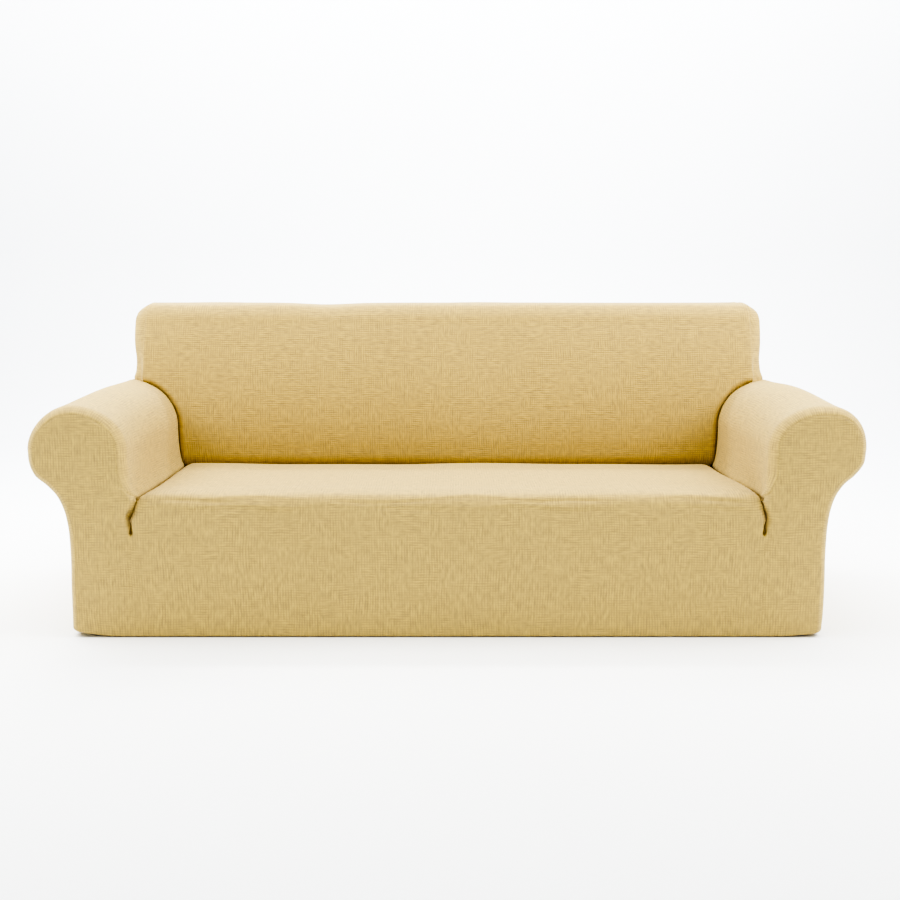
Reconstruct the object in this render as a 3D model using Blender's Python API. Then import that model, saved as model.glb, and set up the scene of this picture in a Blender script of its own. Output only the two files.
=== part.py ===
"""Fitted stretch slipcover for a three-place sofa with rolled arms.

The cover is modelled as it sits when pulled tight over the sofa: seven cut panels, each
one closed thin solid, sewn edge to edge along shared seam lines.  +X is the right of
someone facing the sofa, +Y the back, +Z up.  The hem turns under at Z = 0 and the
footprint is centred on the Z axis.

Every panel is a grid of points worked out from the seam lines that it shares with its
neighbours.  Lengths along the cover's depth are measured back from the front face and
called depth; lengths from the middle plane are called across.
"""
import bpy
import numpy as np

# ---------------------------------------------------------------- driving sizes, metres
DEPTH = 0.88              # front face to rear face
CLOTH = 0.0025            # thickness of the stretch cloth
SEAM_GAP = 0.0003         # clear gap between two panels at a seam
MITRE_LEAST = 0.80        # keeps the cloth's inner corner from running deep in a crease

# hem, turned under by its elastic
HEM_RADIUS = 0.011
HEM_LIP = 0.018
HEM_LIP_SHARE = 0.4       # share of the hem's rows on the flat lip
HEM_LIFT = 0.008          # rise of the hem at the two front corners
HEM_LIFT_REACH = 0.12

# arms
ROLL_ACROSS = 0.941
ROLL_HEIGHT = 0.478
ROLL_INWARD = 0.138       # roll centre to its inner side
ROLL_OUTWARD = 0.110      # roll centre to its outer side
ROLL_RISE = 0.110         # roll centre to its crown at the front
ROLL_SWELL = 0.022        # the crown is this much higher at the backrest
SWELL_LENGTH = 0.45
EDGE_INSET = 0.0205       # seam to outline, seen square to a front or rear face
EDGE_RUN = 0.034          # depth over which the rounded edge reaches the outline
EDGE_LEAST = 0.3          # share of that depth left at the seat's crease
EDGE_START = np.radians(28.0)
FACE_CROWN = 0.004        # swell of an arm's flat front and of the rear panel
REAR_CROWN_REACH = 0.20   # width over which the rear panel's swell grows
REAR_BLEND = 0.35         # width over which its rows bend from level to the arm's outline

# the outer side of an arm, from the roll's widest line down to the hem
ARM_SIDE = np.array([
    # height, left, right (across)
    (0.478, 1.0510, 1.0510),
    (0.440, 1.0480, 1.0455),
    (0.410, 1.0350, 1.0235),
    (0.386, 1.0080, 0.9960),
    (0.360, 0.9850, 0.9780),
    (0.325, 0.9690, 0.9655),
    (0.285, 0.9605, 0.9590),
    (0.220, 0.9565, 0.9555),
    (0.120, 0.9575, 0.9560),
    (HEM_RADIUS, 0.9570, 0.9550),
])

# crease between the seat and an arm, from the front notch back
SEAT_CREASE = np.array([
    # depth, left, right (across)
    (0.00, 0.7830, 0.7900),
    (0.08, 0.7790, 0.7955),
    (0.14, 0.7785, 0.7960),
    (0.21, 0.7790, 0.7905),
    (0.32, 0.7800, 0.7835),
    (0.50, 0.7830, 0.7860),
    (0.62, 0.7920, 0.7920),
])
CREASE_HEIGHT = 0.347
SEAT_FORWARD = 0.022      # the middle's first rows on the seat lie this far forward
SEAT_FORWARD_REACH = 0.12
SEAT_SHOULDER = 0.040     # width over which the seat rounds down to its crease

# the notch that gathers each arm front to the seat front
NOTCH_LINE = np.array([
    # height, left, right (across)
    (0.255, 0.7930, 0.7930),
    (0.283, 0.7950, 0.7965),
    (0.300, 0.7985, 0.8005),
    (0.322, 0.7900, 0.7975),
    (0.347, 0.7830, 0.7900),
])
NOTCH_FOOT = 0.258        # height where the notch starts
NOTCH_OPENS = 0.030       # height over which it reaches its full depth
NOTCH_DEPTH = 0.026
NOTCH_HEAD = 0.360        # above this the arm's front edge comes forward again
NOTCH_CLOSES = 0.075
NOTCH_SHOULDER = 0.024    # width over which the cloth rounds into the notch
SEAM_EASE = 0.55          # section places over which the arm's front edge opens

# middle line of the skirt, the soft front edge and the seat
SEAT_PATH = np.array([
    # depth, height
    (0.0000, HEM_RADIUS),
    (-0.0030, 0.140),
    (-0.0030, 0.250),
    (0.0000, 0.325),
    (0.0050, 0.349),
    (0.0180, 0.3625),
    (0.0420, 0.3680),
    (0.1200, 0.3710),
    (0.3000, 0.3725),
    (0.4800, 0.3700),
    (0.5550, 0.3660),
    (0.5850, 0.3590),
    (0.6040, CREASE_HEIGHT),
])

SEAT_EDGE_ROW = 4         # its row at the foot of the soft front edge

# middle line of the backrest: up its front and over its top to the rear seam
BACK_PATH = np.array([
    # depth, height
    (0.6040, CREASE_HEIGHT),
    (0.5860, 0.3720),
    (0.5740, 0.4150),
    (0.5710, 0.4650),
    (0.5770, 0.5350),
    (0.5900, 0.6110),
    (0.6110, 0.7000),
    (0.6310, 0.7700),
    (0.6440, 0.8070),
    (0.6640, 0.8300),
    (0.6950, 0.8385),
    (0.7600, 0.8390),
    (0.8300, 0.8370),
    (0.8600, 0.8300),
    (0.8750, 0.8170),
    (0.8800, 0.8000),
])
BACK_FACE_ROWS = 9        # row of BACK_PATH at the front top corner; height grows up to it
BACK_REAR_ROW = 13        # its row at the rear top corner

# half widths of the backrest: of its flat sides and of the seams in front of them
BACK_SIDE = np.array([
    # height, side, seam (across)
    (0.605, 0.9600, 0.9088),
    (0.625, 0.9510, 0.9088),
    (0.655, 0.9455, 0.9088),
    (0.720, 0.9470, 0.9095),
    (0.770, 0.9445, 0.9080),
    (0.798, 0.9415, 0.9070),
    (0.812, 0.9375, 0.9060),
    (0.824, 0.9325, 0.9040),
    (0.839, 0.9200, 0.9000),
])
REAR_INSET = 0.040        # an arm's rear corner lies this far inside the backrest's side
SIDE_SHOULDER = 0.030     # width over which a side rounds to its seams
BACK_TUCK = 0.016         # how far the backrest sinks behind the arms
TUCK_OPENS = 0.6          # section places over which it reaches this depth
TUCK_EASE = 0.4           # share it loses towards the side seam
TUCK_EASE_FROM = 1.5
TUCK_EASE_OVER = 0.45
BACK_EDGE_TUCK = 0.004    # tuck left at the backrest's side seams
EDGE_TUCK_RISE = 0.05     # height above the arm over which the side seam comes forward
SEAM_FRONT = 0.66         # depth up to which a side seam counts as in front
BACK_SHOULDER = 0.045     # width over which the backrest rounds into its tuck
CREASE_PULL = 0.35        # how closely the rows in the middle follow the crease's rows
CORNER_RISE = 0.07        # share of the path by which they lie above it at the corner
BACK_BLEND = 0.30         # width over which the rows bend from level to the arm's crease
BACK_DIP = 0.005          # sag of the top edge left of the middle
BACK_DIP_ACROSS = -0.370
BACK_DIP_WIDTH = 0.085
BACK_DIP_FROM = 0.70      # height where the sag starts
BACK_DIP_RISE = 0.12

CORNER_PLACE = 1.851      # place on the arm's section where the backrest's side seam lands
SIDE_PLACE = 2.085        # place where the backrest's flat side stands on the roll
SIDE_RUN = 0.28           # share of the backrest's thickness over which it gets there

UNEVEN = 0.0018           # the whole cover's slow unevenness
UNEVEN_FROM = 0.06        # height over which it starts above the hem
UNEVEN_WAVES = np.array([
    # share, across, depth, height (radians per metre), start
    (1.0, 7.3, 9.1, 6.7, 0.6),
    (0.6, 15.7, 12.3, 4.2, 3.3),
])

# ------------------------------------------------------------------ places of the grids
HEM_ROWS = np.array([0.0, 0.40, 0.70, 1.0])
SKIRT_HEIGHTS = np.array([0.095, 0.180, NOTCH_FOOT])
NOTCH_HEIGHTS = np.array([0.275, 0.296, 0.322, CREASE_HEIGHT])
INNER_PLACES = np.array([0.0, 0.22, 0.45, 0.72, 1.0, 1.25, 1.5])
CROWN_PLACES = np.array([1.5, 1.62, 1.74, CORNER_PLACE, 1.97, 2.10, 2.23, 2.36, 2.5])
OUTER_PLACES = np.array([2.5, 2.68, 2.84, 3.0, 3.12, 3.21, 3.29, 3.37, 3.45, 3.54, 3.64,
                         3.76, 3.88, 4.0])
EDGE_STEPS = np.array([0.0, 0.30, 0.62, 1.0])
ARM_STEPS = np.array([0.0, 0.13, 0.28, 0.44, 0.60, 0.75, 0.87, 0.945, 1.0])
SIDE_STEPS = np.array([0.0, 0.28, 0.52, 0.76, 1.0])
FACE_COLUMNS = np.array([0.0, 0.06, 0.14, 0.25, 0.38, 0.53, 0.69, 0.85, 1.0])
HALF_COLUMNS = np.array([0.0, 0.17, 0.33, 0.49, 0.63, 0.76, 0.86, 0.925, 0.956, 0.975,
                         0.99, 1.0])
BACK_RISE_STEPS = 6       # rows of a backrest side, from arm to top corner

FINE_STEPS = 1200         # samples along a path when a height or depth is looked up

LEFT, RIGHT = -1, 1
PI_HALF = np.pi / 2


# --------------------------------------------------------------------- small functions
def ramp(x):
    """Smooth step: 0 up to x = 0, 1 from x = 1."""
    x = np.clip(x, 0.0, 1.0)
    return x * x * (3.0 - 2.0 * x)


def shoulder(distance, width):
    """1 on a seam, falling as a parabola to 0 at the width away from it."""
    return np.clip(1.0 - distance / width, 0.0, 1.0) ** 2


def join(*runs):
    """Joins runs of places end to end, each run starting where the last one stopped."""
    return np.concatenate([runs[0]] + [run[1:] for run in runs[1:]])


def column(table, side):
    """The left or right column of a table with columns key, left, right."""
    return table[:, 1] if side == LEFT else table[:, 2]


def chords(points):
    """Share of the length along a row of points, from 0 to 1."""
    steps = np.linalg.norm(np.diff(points, axis=0), axis=1)
    length = np.concatenate([[0.0], np.cumsum(steps)])
    return length / length[-1]


def smooth_curve(points, share):
    """Point at each share of the length of a smooth curve through the points.

    Cubic Hermite pieces, whose slopes are the central differences over chord length.
    """
    knots = chords(points)
    slopes = np.gradient(points, knots, axis=0)
    share = np.asarray(share, float)
    k = np.clip(np.searchsorted(knots, share, side="right") - 1, 0, len(knots) - 2)
    span = (knots[k + 1] - knots[k])[..., None]
    f = (share - knots[k])[..., None] / span
    start, end = points[k], points[k + 1]
    leave, arrive = slopes[k] * span, slopes[k + 1] * span
    rise = f * f * (3.0 - 2.0 * f)
    return (start + (end - start) * rise + leave * f * (1.0 - f) ** 2
            - arrive * f * f * (1.0 - f))


def clearance(points, line):
    """Distance of each point to the nearest of a line's straight pieces."""
    start, along = line[:-1], np.diff(line, axis=0)
    offset = points[..., None, :] - start
    share = np.einsum("...ij,ij->...i", offset, along) / np.einsum("ij,ij->i", along, along)
    nearest = offset - np.clip(share, 0.0, 1.0)[..., None] * along
    return np.linalg.norm(nearest, axis=-1).min(axis=-1)


def coons(bottom, top, left, right):
    """Grid filled between four edge curves: the two ruled surfaces less the corners' one.

    bottom and top run across, left and right run up; the result's rows run up.
    """
    u = ((chords(bottom) + chords(top)) / 2.0)[None, :, None]
    v = ((chords(left) + chords(right)) / 2.0)[:, None, None]
    ruled_up = (1.0 - v) * bottom[None] + v * top[None]
    ruled_across = (1.0 - u) * left[:, None] + u * right[:, None]
    corners = ((1.0 - v) * ((1.0 - u) * bottom[0] + u * bottom[-1])
               + v * ((1.0 - u) * top[0] + u * top[-1]))
    return ruled_up + ruled_across - corners


def stack(across, depth, height):
    """Points (across, depth, height) from three arrays, spread to one shape."""
    return np.stack(np.broadcast_arrays(across, depth, height), axis=-1)


# ----------------------------------------------------------------------- shared outlines
def hem_turn(place):
    """Inward and up of the turned hem: 0 is the lip's free edge, 1 the top of the turn."""
    lip = np.clip(place / HEM_LIP_SHARE, 0.0, 1.0)
    angle = PI_HALF * (1.0 - np.clip((place - HEM_LIP_SHARE) / (1.0 - HEM_LIP_SHARE), 0, 1))
    inward = HEM_LIP * (1.0 - lip) + HEM_RADIUS * (1.0 - np.cos(angle))
    return inward, HEM_RADIUS * (1.0 - np.sin(angle))


def crease_across(side, depth):
    """Across of the seat's crease with an arm at a depth."""
    return np.interp(depth, SEAT_CREASE[:, 0], column(SEAT_CREASE, side))


def notch_across(side, height):
    """Across of the line where an arm front joins the seat front."""
    return np.interp(height, NOTCH_LINE[:, 0], column(NOTCH_LINE, side))


def notch_pull(height):
    """How deep the notch draws the cloth in at a height."""
    opens = ramp((height - NOTCH_FOOT) / NOTCH_OPENS)
    closes = ramp((height - NOTCH_HEAD) / NOTCH_CLOSES)
    return NOTCH_DEPTH * opens * (1.0 - closes)


def rising_part(path, last_row):
    """Shares and points along a path up to the row where its height stops growing."""
    share = np.linspace(0.0, chords(path)[last_row], FINE_STEPS)
    return share, smooth_curve(path, share)


def back_depth(height):
    """Depth of the backrest's front face at a height."""
    _, fine = rising_part(BACK_PATH, BACK_FACE_ROWS)
    return np.interp(height, fine[:, 1], fine[:, 0])


def arm_section(side, place, depth):
    """Across and up of an arm's outline.

    Places run 0-1 up the inner side, 1-2 and 2-3 over the inner and outer top as quarter
    ellipses, 3-4 down the outer side and 4-5 round the turned hem.
    """
    place, depth = np.broadcast_arrays(np.asarray(place, float), depth)
    rise = ROLL_RISE + ROLL_SWELL * ramp(depth / SWELL_LENGTH)
    crease = crease_across(side, depth)
    climb = np.clip(place, 0.0, 1.0)
    inner_turn = PI_HALF * np.clip(place - 1.0, 0.0, 1.0)
    outer_turn = PI_HALF * np.clip(place - 2.0, 0.0, 1.0)
    outline = np.column_stack([column(ARM_SIDE, side), ARM_SIDE[:, 0]])
    down = smooth_curve(outline, np.clip(place - 3.0, 0.0, 1.0))
    turn_in, turn_up = hem_turn(np.clip(5.0 - place, 0.0, 1.0))
    inner = ROLL_ACROSS - ROLL_INWARD
    parts = [place < 1.0, place < 2.0, place < 3.0, place < 4.0]
    across = np.select(parts, [
        crease + (inner - crease) * (1.0 - (1.0 - climb) ** 3),
        ROLL_ACROSS - ROLL_INWARD * np.cos(inner_turn),
        ROLL_ACROSS + ROLL_OUTWARD * np.sin(outer_turn),
        down[..., 0],
    ], outline[-1, 0] - turn_in)
    height = np.select(parts, [
        CREASE_HEIGHT + (ROLL_HEIGHT - CREASE_HEIGHT) * climb,
        ROLL_HEIGHT + rise * np.sin(inner_turn),
        ROLL_HEIGHT + rise * np.cos(outer_turn),
        down[..., 1],
    ], turn_up)
    return across, height


def arm_inward(side, place, depth):
    """Unit direction (across, up) into an arm, square to its outline, level at the hem."""
    step = 0.01
    ahead = np.stack(arm_section(side, np.minimum(place + step, 4.0), depth), axis=-1)
    behind = np.stack(arm_section(side, np.clip(place - step, 0.0, 4.0 - step), depth), axis=-1)
    along = ahead - behind
    inward = np.stack([along[..., 1], -along[..., 0]], axis=-1)
    return inward / np.linalg.norm(inward, axis=-1, keepdims=True)


def edge_opening(place):
    """Share of the rounded front edge's full size: it closes towards the seat's crease."""
    return ramp(place / SEAM_EASE)


def back_tuck(place):
    """How far the backrest sinks behind an arm along their crease."""
    ease = TUCK_EASE * ramp((place - TUCK_EASE_FROM) / TUCK_EASE_OVER)
    return BACK_TUCK * ramp(place / TUCK_OPENS) * (1.0 - ease)


def arm_surface(side, place, run):
    """Point of an arm's cloth.

    Place is the place on its section.  Run goes 0-1 round the front edge, 1-2 back to the
    backrest, 2-3 beside the backrest and 3-4 round the rear edge.  A rounded edge is an
    arc: it moves in from the outline by 1 - sin of the arc's angle and along the depth by
    the angle's cosine.
    """
    place, run = np.broadcast_arrays(np.asarray(place, float), np.asarray(run, float))
    turn_in, _ = hem_turn(np.clip(5.0 - place, 0.0, 1.0))
    turn_in = np.where(place > 4.0, turn_in, 0.0)
    _, seam_height = arm_section(side, place, 0.0)
    pull = np.where(place < 1.0, notch_pull(np.maximum(seam_height, NOTCH_HEAD)), 0.0)
    front_run = EDGE_RUN * (EDGE_LEAST + (1.0 - EDGE_LEAST) * edge_opening(place))

    behind = np.minimum(place, CORNER_PLACE)
    _, crease_height = arm_section(side, behind, DEPTH)
    reach = back_depth(crease_height) + back_tuck(behind)

    start = pull + turn_in
    angle = EDGE_START + (PI_HALF - EDGE_START) * np.clip(run, 0.0, 1.0)
    rear_angle = EDGE_START + (PI_HALF - EDGE_START) * np.clip(4.0 - run, 0.0, 1.0)
    arc = (np.cos(EDGE_START) - np.cos(angle)) / np.cos(EDGE_START)
    rear_arc = (np.cos(EDGE_START) - np.cos(rear_angle)) / np.cos(EDGE_START)
    rear_start = DEPTH - turn_in
    depth = np.select(
        [run <= 1.0, run <= 2.0, run <= 3.0],
        [start + front_run * arc,
         start + front_run + (reach - start - front_run) * np.clip(run - 1.0, 0, 1),
         reach + (rear_start - EDGE_RUN - reach) * np.clip(run - 2.0, 0, 1)],
        rear_start - EDGE_RUN * rear_arc)

    # beside the backrest the lines of the grid slide outwards to its flat side
    near = np.clip((3.0 - place) / (3.0 - CORNER_PLACE), 0.0, 1.0)
    slide = (SIDE_PLACE - CORNER_PLACE) * ramp((run - 2.0) / SIDE_RUN) * near
    slid = place + np.where(place >= CORNER_PLACE, slide, 0.0)
    across, height = arm_section(side, slid, depth)

    open_front = (1.0 - np.sin(angle)) / (1.0 - np.sin(EDGE_START)) * edge_opening(place)
    open_rear = (1.0 - np.sin(rear_angle)) / (1.0 - np.sin(EDGE_START))
    inset = EDGE_INSET * np.where(run < 2.0, open_front, open_rear)
    inward = arm_inward(side, slid, depth)
    across = across + inward[..., 0] * inset
    height = height + inward[..., 1] * inset
    corner = REAR_INSET * open_rear * near ** 2 * (run > 2.0)
    return stack(side * (across - corner), depth, height)


def back_side_across(height):
    """Half width of the backrest's flat sides at a height."""
    return np.interp(height, BACK_SIDE[:, 0], BACK_SIDE[:, 1])


def back_seam_across(height):
    """Half width between the backrest's side seams at a height."""
    return np.interp(height, BACK_SIDE[:, 0], BACK_SIDE[:, 2])


# ------------------------------------------------------------------------------- seams
ARM_PLACES = join(INNER_PLACES, CROWN_PLACES, OUTER_PLACES, 5.0 - HEM_ROWS[::-1])
CORNER_ROW = int(np.flatnonzero(ARM_PLACES == CORNER_PLACE)[0])
ARM_RUNS = join(EDGE_STEPS, 1.0 + ARM_STEPS, 2.0 + SIDE_STEPS, 4.0 - EDGE_STEPS[::-1])
BACK_RUN = len(EDGE_STEPS) + len(ARM_STEPS) - 2
COLUMNS = join(-HALF_COLUMNS[::-1], HALF_COLUMNS)


def arm_grid(side):
    """Every point of an arm's cloth, rows along the section and columns along the depth."""
    return arm_surface(side, ARM_PLACES[:, None], ARM_RUNS[None, :])


def back_rows():
    """Shares of BACK_PATH for the backrest's rows: middle line, and where the sides land.

    Up to the corner row they follow the arm's crease; from there they climb to the top
    corner and run over the top.
    """
    fine_share, fine = rising_part(BACK_PATH, BACK_FACE_ROWS)
    _, crease_height = arm_section(RIGHT, ARM_PLACES[:CORNER_ROW + 1], DEPTH)
    at_crease = np.interp(crease_height, fine[:, 1], fine_share)
    even = (at_crease[-1] + CORNER_RISE) * np.linspace(0.0, 1.0, CORNER_ROW + 1)
    middle = CREASE_PULL * at_crease + (1.0 - CREASE_PULL) * even
    top_corner, rear_corner = chords(BACK_PATH)[[BACK_FACE_ROWS, BACK_REAR_ROW]]
    climb = np.linspace(at_crease[-1], top_corner, BACK_RISE_STEPS + 1)
    middle_climb = np.linspace(middle[-1], top_corner, BACK_RISE_STEPS + 1)
    over = np.linspace(top_corner, rear_corner, len(SIDE_STEPS) + len(EDGE_STEPS) - 1)
    last = np.array([rear_corner, 1.0])
    return join(middle, middle_climb, over, last), join(at_crease, climb, over, last)


def back_edge(side):
    """The backrest's side line: the arm's crease, then its side seam over the top."""
    _, edge_share = back_rows()
    crease = arm_surface(side, ARM_PLACES[:CORNER_ROW + 1], 2.0)
    seam = smooth_curve(BACK_PATH, edge_share[CORNER_ROW + 1:])
    height = seam[:, 1]
    corner_height = crease[-1, 2]
    corner_sink = crease[-1, 1] - back_depth(corner_height) - BACK_EDGE_TUCK
    sink = BACK_EDGE_TUCK + corner_sink * shoulder(height - corner_height, EDGE_TUCK_RISE)
    front = 1.0 - ramp((seam[:, 0] - SEAM_FRONT) / EDGE_TUCK_RISE)
    across = side * back_seam_across(height)
    return np.concatenate([crease, stack(across, seam[:, 0] + sink * front, height)])


# ------------------------------------------------------------------------------ panels
def seat_edge(side):
    """The seat panel's side line: up the notch, then back along the arm's crease."""
    inward, up = hem_turn(HEM_ROWS)
    foot = stack(side * notch_across(side, up), inward, up)
    heights = np.concatenate([SKIRT_HEIGHTS, NOTCH_HEIGHTS])
    face = np.interp(heights, SEAT_PATH[:4, 1], SEAT_PATH[:4, 0])
    front = stack(side * notch_across(side, heights), face + notch_pull(heights), heights)
    crease = arm_surface(side, 0.0, ARM_RUNS[:BACK_RUN + 1])
    front[-1] = crease[0]
    return np.concatenate([foot, front, crease[1:]])


def seat_grid():
    """The skirt's middle, the front edge and the seat, rows from the hem to the backrest."""
    inward, up = hem_turn(HEM_ROWS)
    hem = np.column_stack([inward, up])
    heights = np.concatenate([SKIRT_HEIGHTS, NOTCH_HEIGHTS])
    fine_share, fine = rising_part(SEAT_PATH, SEAT_EDGE_ROW)
    front = np.interp(heights, fine[:, 1], fine_share)
    crease = arm_surface(RIGHT, 0.0, ARM_RUNS[:BACK_RUN + 1])[1:, 1]
    depths = crease - SEAT_FORWARD * shoulder(crease - SEAT_FORWARD, SEAT_FORWARD_REACH)
    fine_share = np.linspace(chords(SEAT_PATH)[SEAT_EDGE_ROW], 1.0, FINE_STEPS)
    back = np.interp(depths, smooth_curve(SEAT_PATH, fine_share)[:, 0], fine_share)
    middle = np.concatenate([hem, smooth_curve(SEAT_PATH, np.concatenate([front, back]))])

    grid = np.zeros((len(middle), len(COLUMNS), 3))
    for side in (LEFT, RIGHT):
        edge = seat_edge(side)
        half = COLUMNS * side >= 0.0
        share = np.abs(COLUMNS[half])[None, :]
        across = share * edge[:, 0, None]
        distance = np.abs(edge[:, 0, None]) - np.abs(across)
        width = np.where(edge[:, 2] < CREASE_HEIGHT - SEAM_GAP, NOTCH_SHOULDER, SEAT_SHOULDER)
        fall = shoulder(distance, width[:, None])
        gap = edge[:, 1:] - middle
        grid[:, half, 0] = across
        grid[:, half, 1:] = middle[:, None] + gap[:, None] * fall[..., None]
    return grid


def face_grid(side):
    """An arm's front: hem rows, then a Coons grid inside its arched seam."""
    edge = seat_edge(side)
    hem_count = len(HEM_ROWS)
    inner_count = len(SKIRT_HEIGHTS) + len(NOTCH_HEIGHTS)
    lower = edge[hem_count - 1:hem_count + inner_count]
    seam = arm_surface(side, ARM_PLACES, 0.0)
    first, last = len(INNER_PLACES) - 1, len(INNER_PLACES) + len(CROWN_PLACES) - 2
    left = np.concatenate([lower, seam[1:first + 1]])
    top = seam[first:last + 1]
    hem_top = len(ARM_PLACES) - hem_count
    right = seam[last:hem_top + 1][::-1]
    bottom = left[0] + (right[0] - left[0]) * FACE_COLUMNS[:, None]
    pull = notch_pull(left[:, 2])
    left = left - pull[:, None] * (0.0, 1.0, 0.0)
    grid = coons(bottom, top, left, right)
    distance = np.abs(grid[..., 0] - grid[:, :1, 0])
    grid[..., 1] += pull[:, None] * shoulder(distance, NOTCH_SHOULDER)
    u = np.linspace(0.0, 1.0, grid.shape[1])
    v = np.linspace(0.0, 1.0, grid.shape[0])
    grid[..., 1] -= FACE_CROWN * 4.0 * (u * (1.0 - u))[None] * np.sin(np.pi * v)[:, None]

    outer_hem = seam[hem_top:][::-1]
    inner_hem = edge[:hem_count]
    share = FACE_COLUMNS[None, :, None]
    hem = inner_hem[:, None] + (outer_hem - inner_hem)[:, None] * share
    return np.concatenate([hem, grid[1:]])


def back_grid():
    """The backrest's front and top, rows from the seat's crease to the rear seam."""
    middle, edge_share = back_rows()
    grid = np.zeros((len(middle), len(COLUMNS), 3))
    for side in (LEFT, RIGHT):
        edge = back_edge(side)
        half = COLUMNS * side >= 0.0
        across = np.abs(COLUMNS[half])[None, :] * edge[:, 0, None]
        blend = shoulder(np.abs(edge[:, 0, None] - across), BACK_BLEND)
        share = middle[:, None] + (edge_share - middle)[:, None] * blend
        face = smooth_curve(BACK_PATH, share)
        edge_face = smooth_curve(BACK_PATH, edge_share)
        untucked = np.concatenate([across[..., None], face], axis=-1)
        line = np.column_stack([edge[:, 0], edge_face])
        fall = shoulder(clearance(untucked, line), BACK_SHOULDER)
        gap = edge[:, 1:] - edge_face
        grid[:, half, 0] = across
        grid[:, half, 1:] = face + gap[:, None] * fall[..., None]
    return grid


def side_grid(side):
    """A backrest side: a Coons grid in profile, whose flat rounds over to its seams."""
    bottom = arm_surface(side, CORNER_PLACE, ARM_RUNS[BACK_RUN:])
    edge = back_edge(side)[CORNER_ROW:]
    left, top = edge[:BACK_RISE_STEPS + 1], edge[BACK_RISE_STEPS:-1]
    share = np.linspace(0.0, 1.0, BACK_RISE_STEPS)[:, None]
    rear = bottom[-1] + (edge[-1] - bottom[-1]) * share
    rear[1:-1, 0] = side * back_seam_across(rear[1:-1, 2])
    right = np.concatenate([rear, top[-1:]])
    grid = coons(bottom, top, left, right)
    flat = back_side_across(grid[..., 2])
    seams = np.concatenate([left, top[1:], rear[::-1]])
    distance = clearance(grid[..., 1:], seams[:, 1:])
    inset = flat - back_seam_across(grid[..., 2])
    inside = flat - inset * shoulder(distance, SIDE_SHOULDER)
    rows = np.linspace(0.0, 1.0, grid.shape[0])[:, None]
    stand = (np.abs(bottom[:, 0]) - inside[0])[None, :] * (1.0 - rows) ** 2
    border = np.zeros(inside.shape, bool)
    border[:, 0] = border[:, -1] = border[0] = border[-1] = True
    grid[..., 0] = np.where(border, grid[..., 0], side * (inside + stand))
    return grid


def rear_grid():
    """The rear panel: rows from the hem to the top seam, between both sides' rear seams."""
    edges = []
    for side in (LEFT, RIGHT):
        arm = arm_surface(side, ARM_PLACES[CORNER_ROW:], ARM_RUNS[-1])[::-1]
        rise = side_grid(side)[:BACK_RISE_STEPS, -1]
        edges.append(np.concatenate([arm, rise[1:]]))
    left, right = edges
    hem_count = len(HEM_ROWS)
    even = np.linspace(left[hem_count - 1, 2], left[-1, 2], len(left) - hem_count + 1)
    middle = (left[:, 2] + right[:, 2]) / 2.0
    middle[hem_count - 1:] = (middle[hem_count - 1:] + even) / 2.0
    bow = np.sin(np.pi * np.linspace(0.0, 1.0, len(left)))
    grid = np.zeros((len(left), len(COLUMNS), 3))
    for side, edge in ((LEFT, left), (RIGHT, right)):
        half = COLUMNS * side >= 0.0
        share = np.abs(COLUMNS[half])[None, :]
        distance = np.abs(edge[:, 0, None]) * (1.0 - share)
        blend = shoulder(distance, REAR_BLEND)
        swell = FACE_CROWN * (1.0 - shoulder(distance, REAR_CROWN_REACH)) * bow[:, None]
        grid[:, half, 0] = share * edge[:, 0, None]
        grid[:, half, 1] = edge[:, 1, None] + swell
        grid[:, half, 2] = middle[:, None] + (edge[:, 2] - middle)[:, None] * blend
    grid[-1] = back_grid()[-1]
    return grid


# -------------------------------------------------------------------------- thin solids
def lattice(grid, flip, keep=None):
    """Points and four-cornered faces of a grid; keep marks the cells that are cloth."""
    rows, columns = grid.shape[:2]
    index = np.arange(rows * columns).reshape(rows, columns)
    cells = np.stack([index[:-1, :-1], index[:-1, 1:], index[1:, 1:], index[1:, :-1]], axis=-1)
    if keep is not None:
        cells = cells[keep]
    cells = cells.reshape(-1, 4)
    return grid.reshape(-1, 3), cells[:, ::-1] if flip else cells


def arm_cells():
    """Cells of an arm's grid that are cloth: those beside the backrest start at its side."""
    keep = np.ones((len(ARM_PLACES) - 1, len(ARM_RUNS) - 1), bool)
    keep[:CORNER_ROW, BACK_RUN:] = False
    return keep


def panels():
    """Each node's name with the grids that make its outer face."""
    return {
        "front_panel": [lattice(seat_grid(), False),
                        lattice(face_grid(RIGHT), False),
                        lattice(face_grid(LEFT), True)],
        "arm_panel_left": [lattice(arm_grid(LEFT), False, arm_cells())],
        "arm_panel_right": [lattice(arm_grid(RIGHT), True, arm_cells())],
        "inside_back": [lattice(back_grid(), False)],
        "back_side_left": [lattice(side_grid(LEFT), True)],
        "back_side_right": [lattice(side_grid(RIGHT), False)],
        "outside_back": [lattice(rear_grid(), True)],
    }


def weld(points, cells):
    """Merges points that lie within a hundredth of a millimetre, and drops unused ones."""
    _, first, again = np.unique(np.round(points / 1e-5).astype(np.int64), axis=0,
                                return_index=True, return_inverse=True)
    cells = again.reshape(-1)[cells]
    used, cells = np.unique(cells, return_inverse=True)
    return points[first][used], cells.reshape(-1, 4)


def uneven(points):
    """Slow unevenness of the fitted cloth along its own outward direction, in metres."""
    x, y, z = points.T
    wave = np.zeros(len(points))
    for share, across, depth, height, start in UNEVEN_WAVES:
        wave += share * np.sin(across * x + start) * np.sin(depth * y + height * z + start)
    return UNEVEN * wave * ramp(z / UNEVEN_FROM)


def face_normals(points, cells):
    """Unit normal of each four-cornered face, square to both its diagonals."""
    a, b, c, d = (points[cells[:, k]] for k in range(4))
    normals = np.cross(c - a, d - b)
    return normals / np.linalg.norm(normals, axis=1, keepdims=True)


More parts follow.
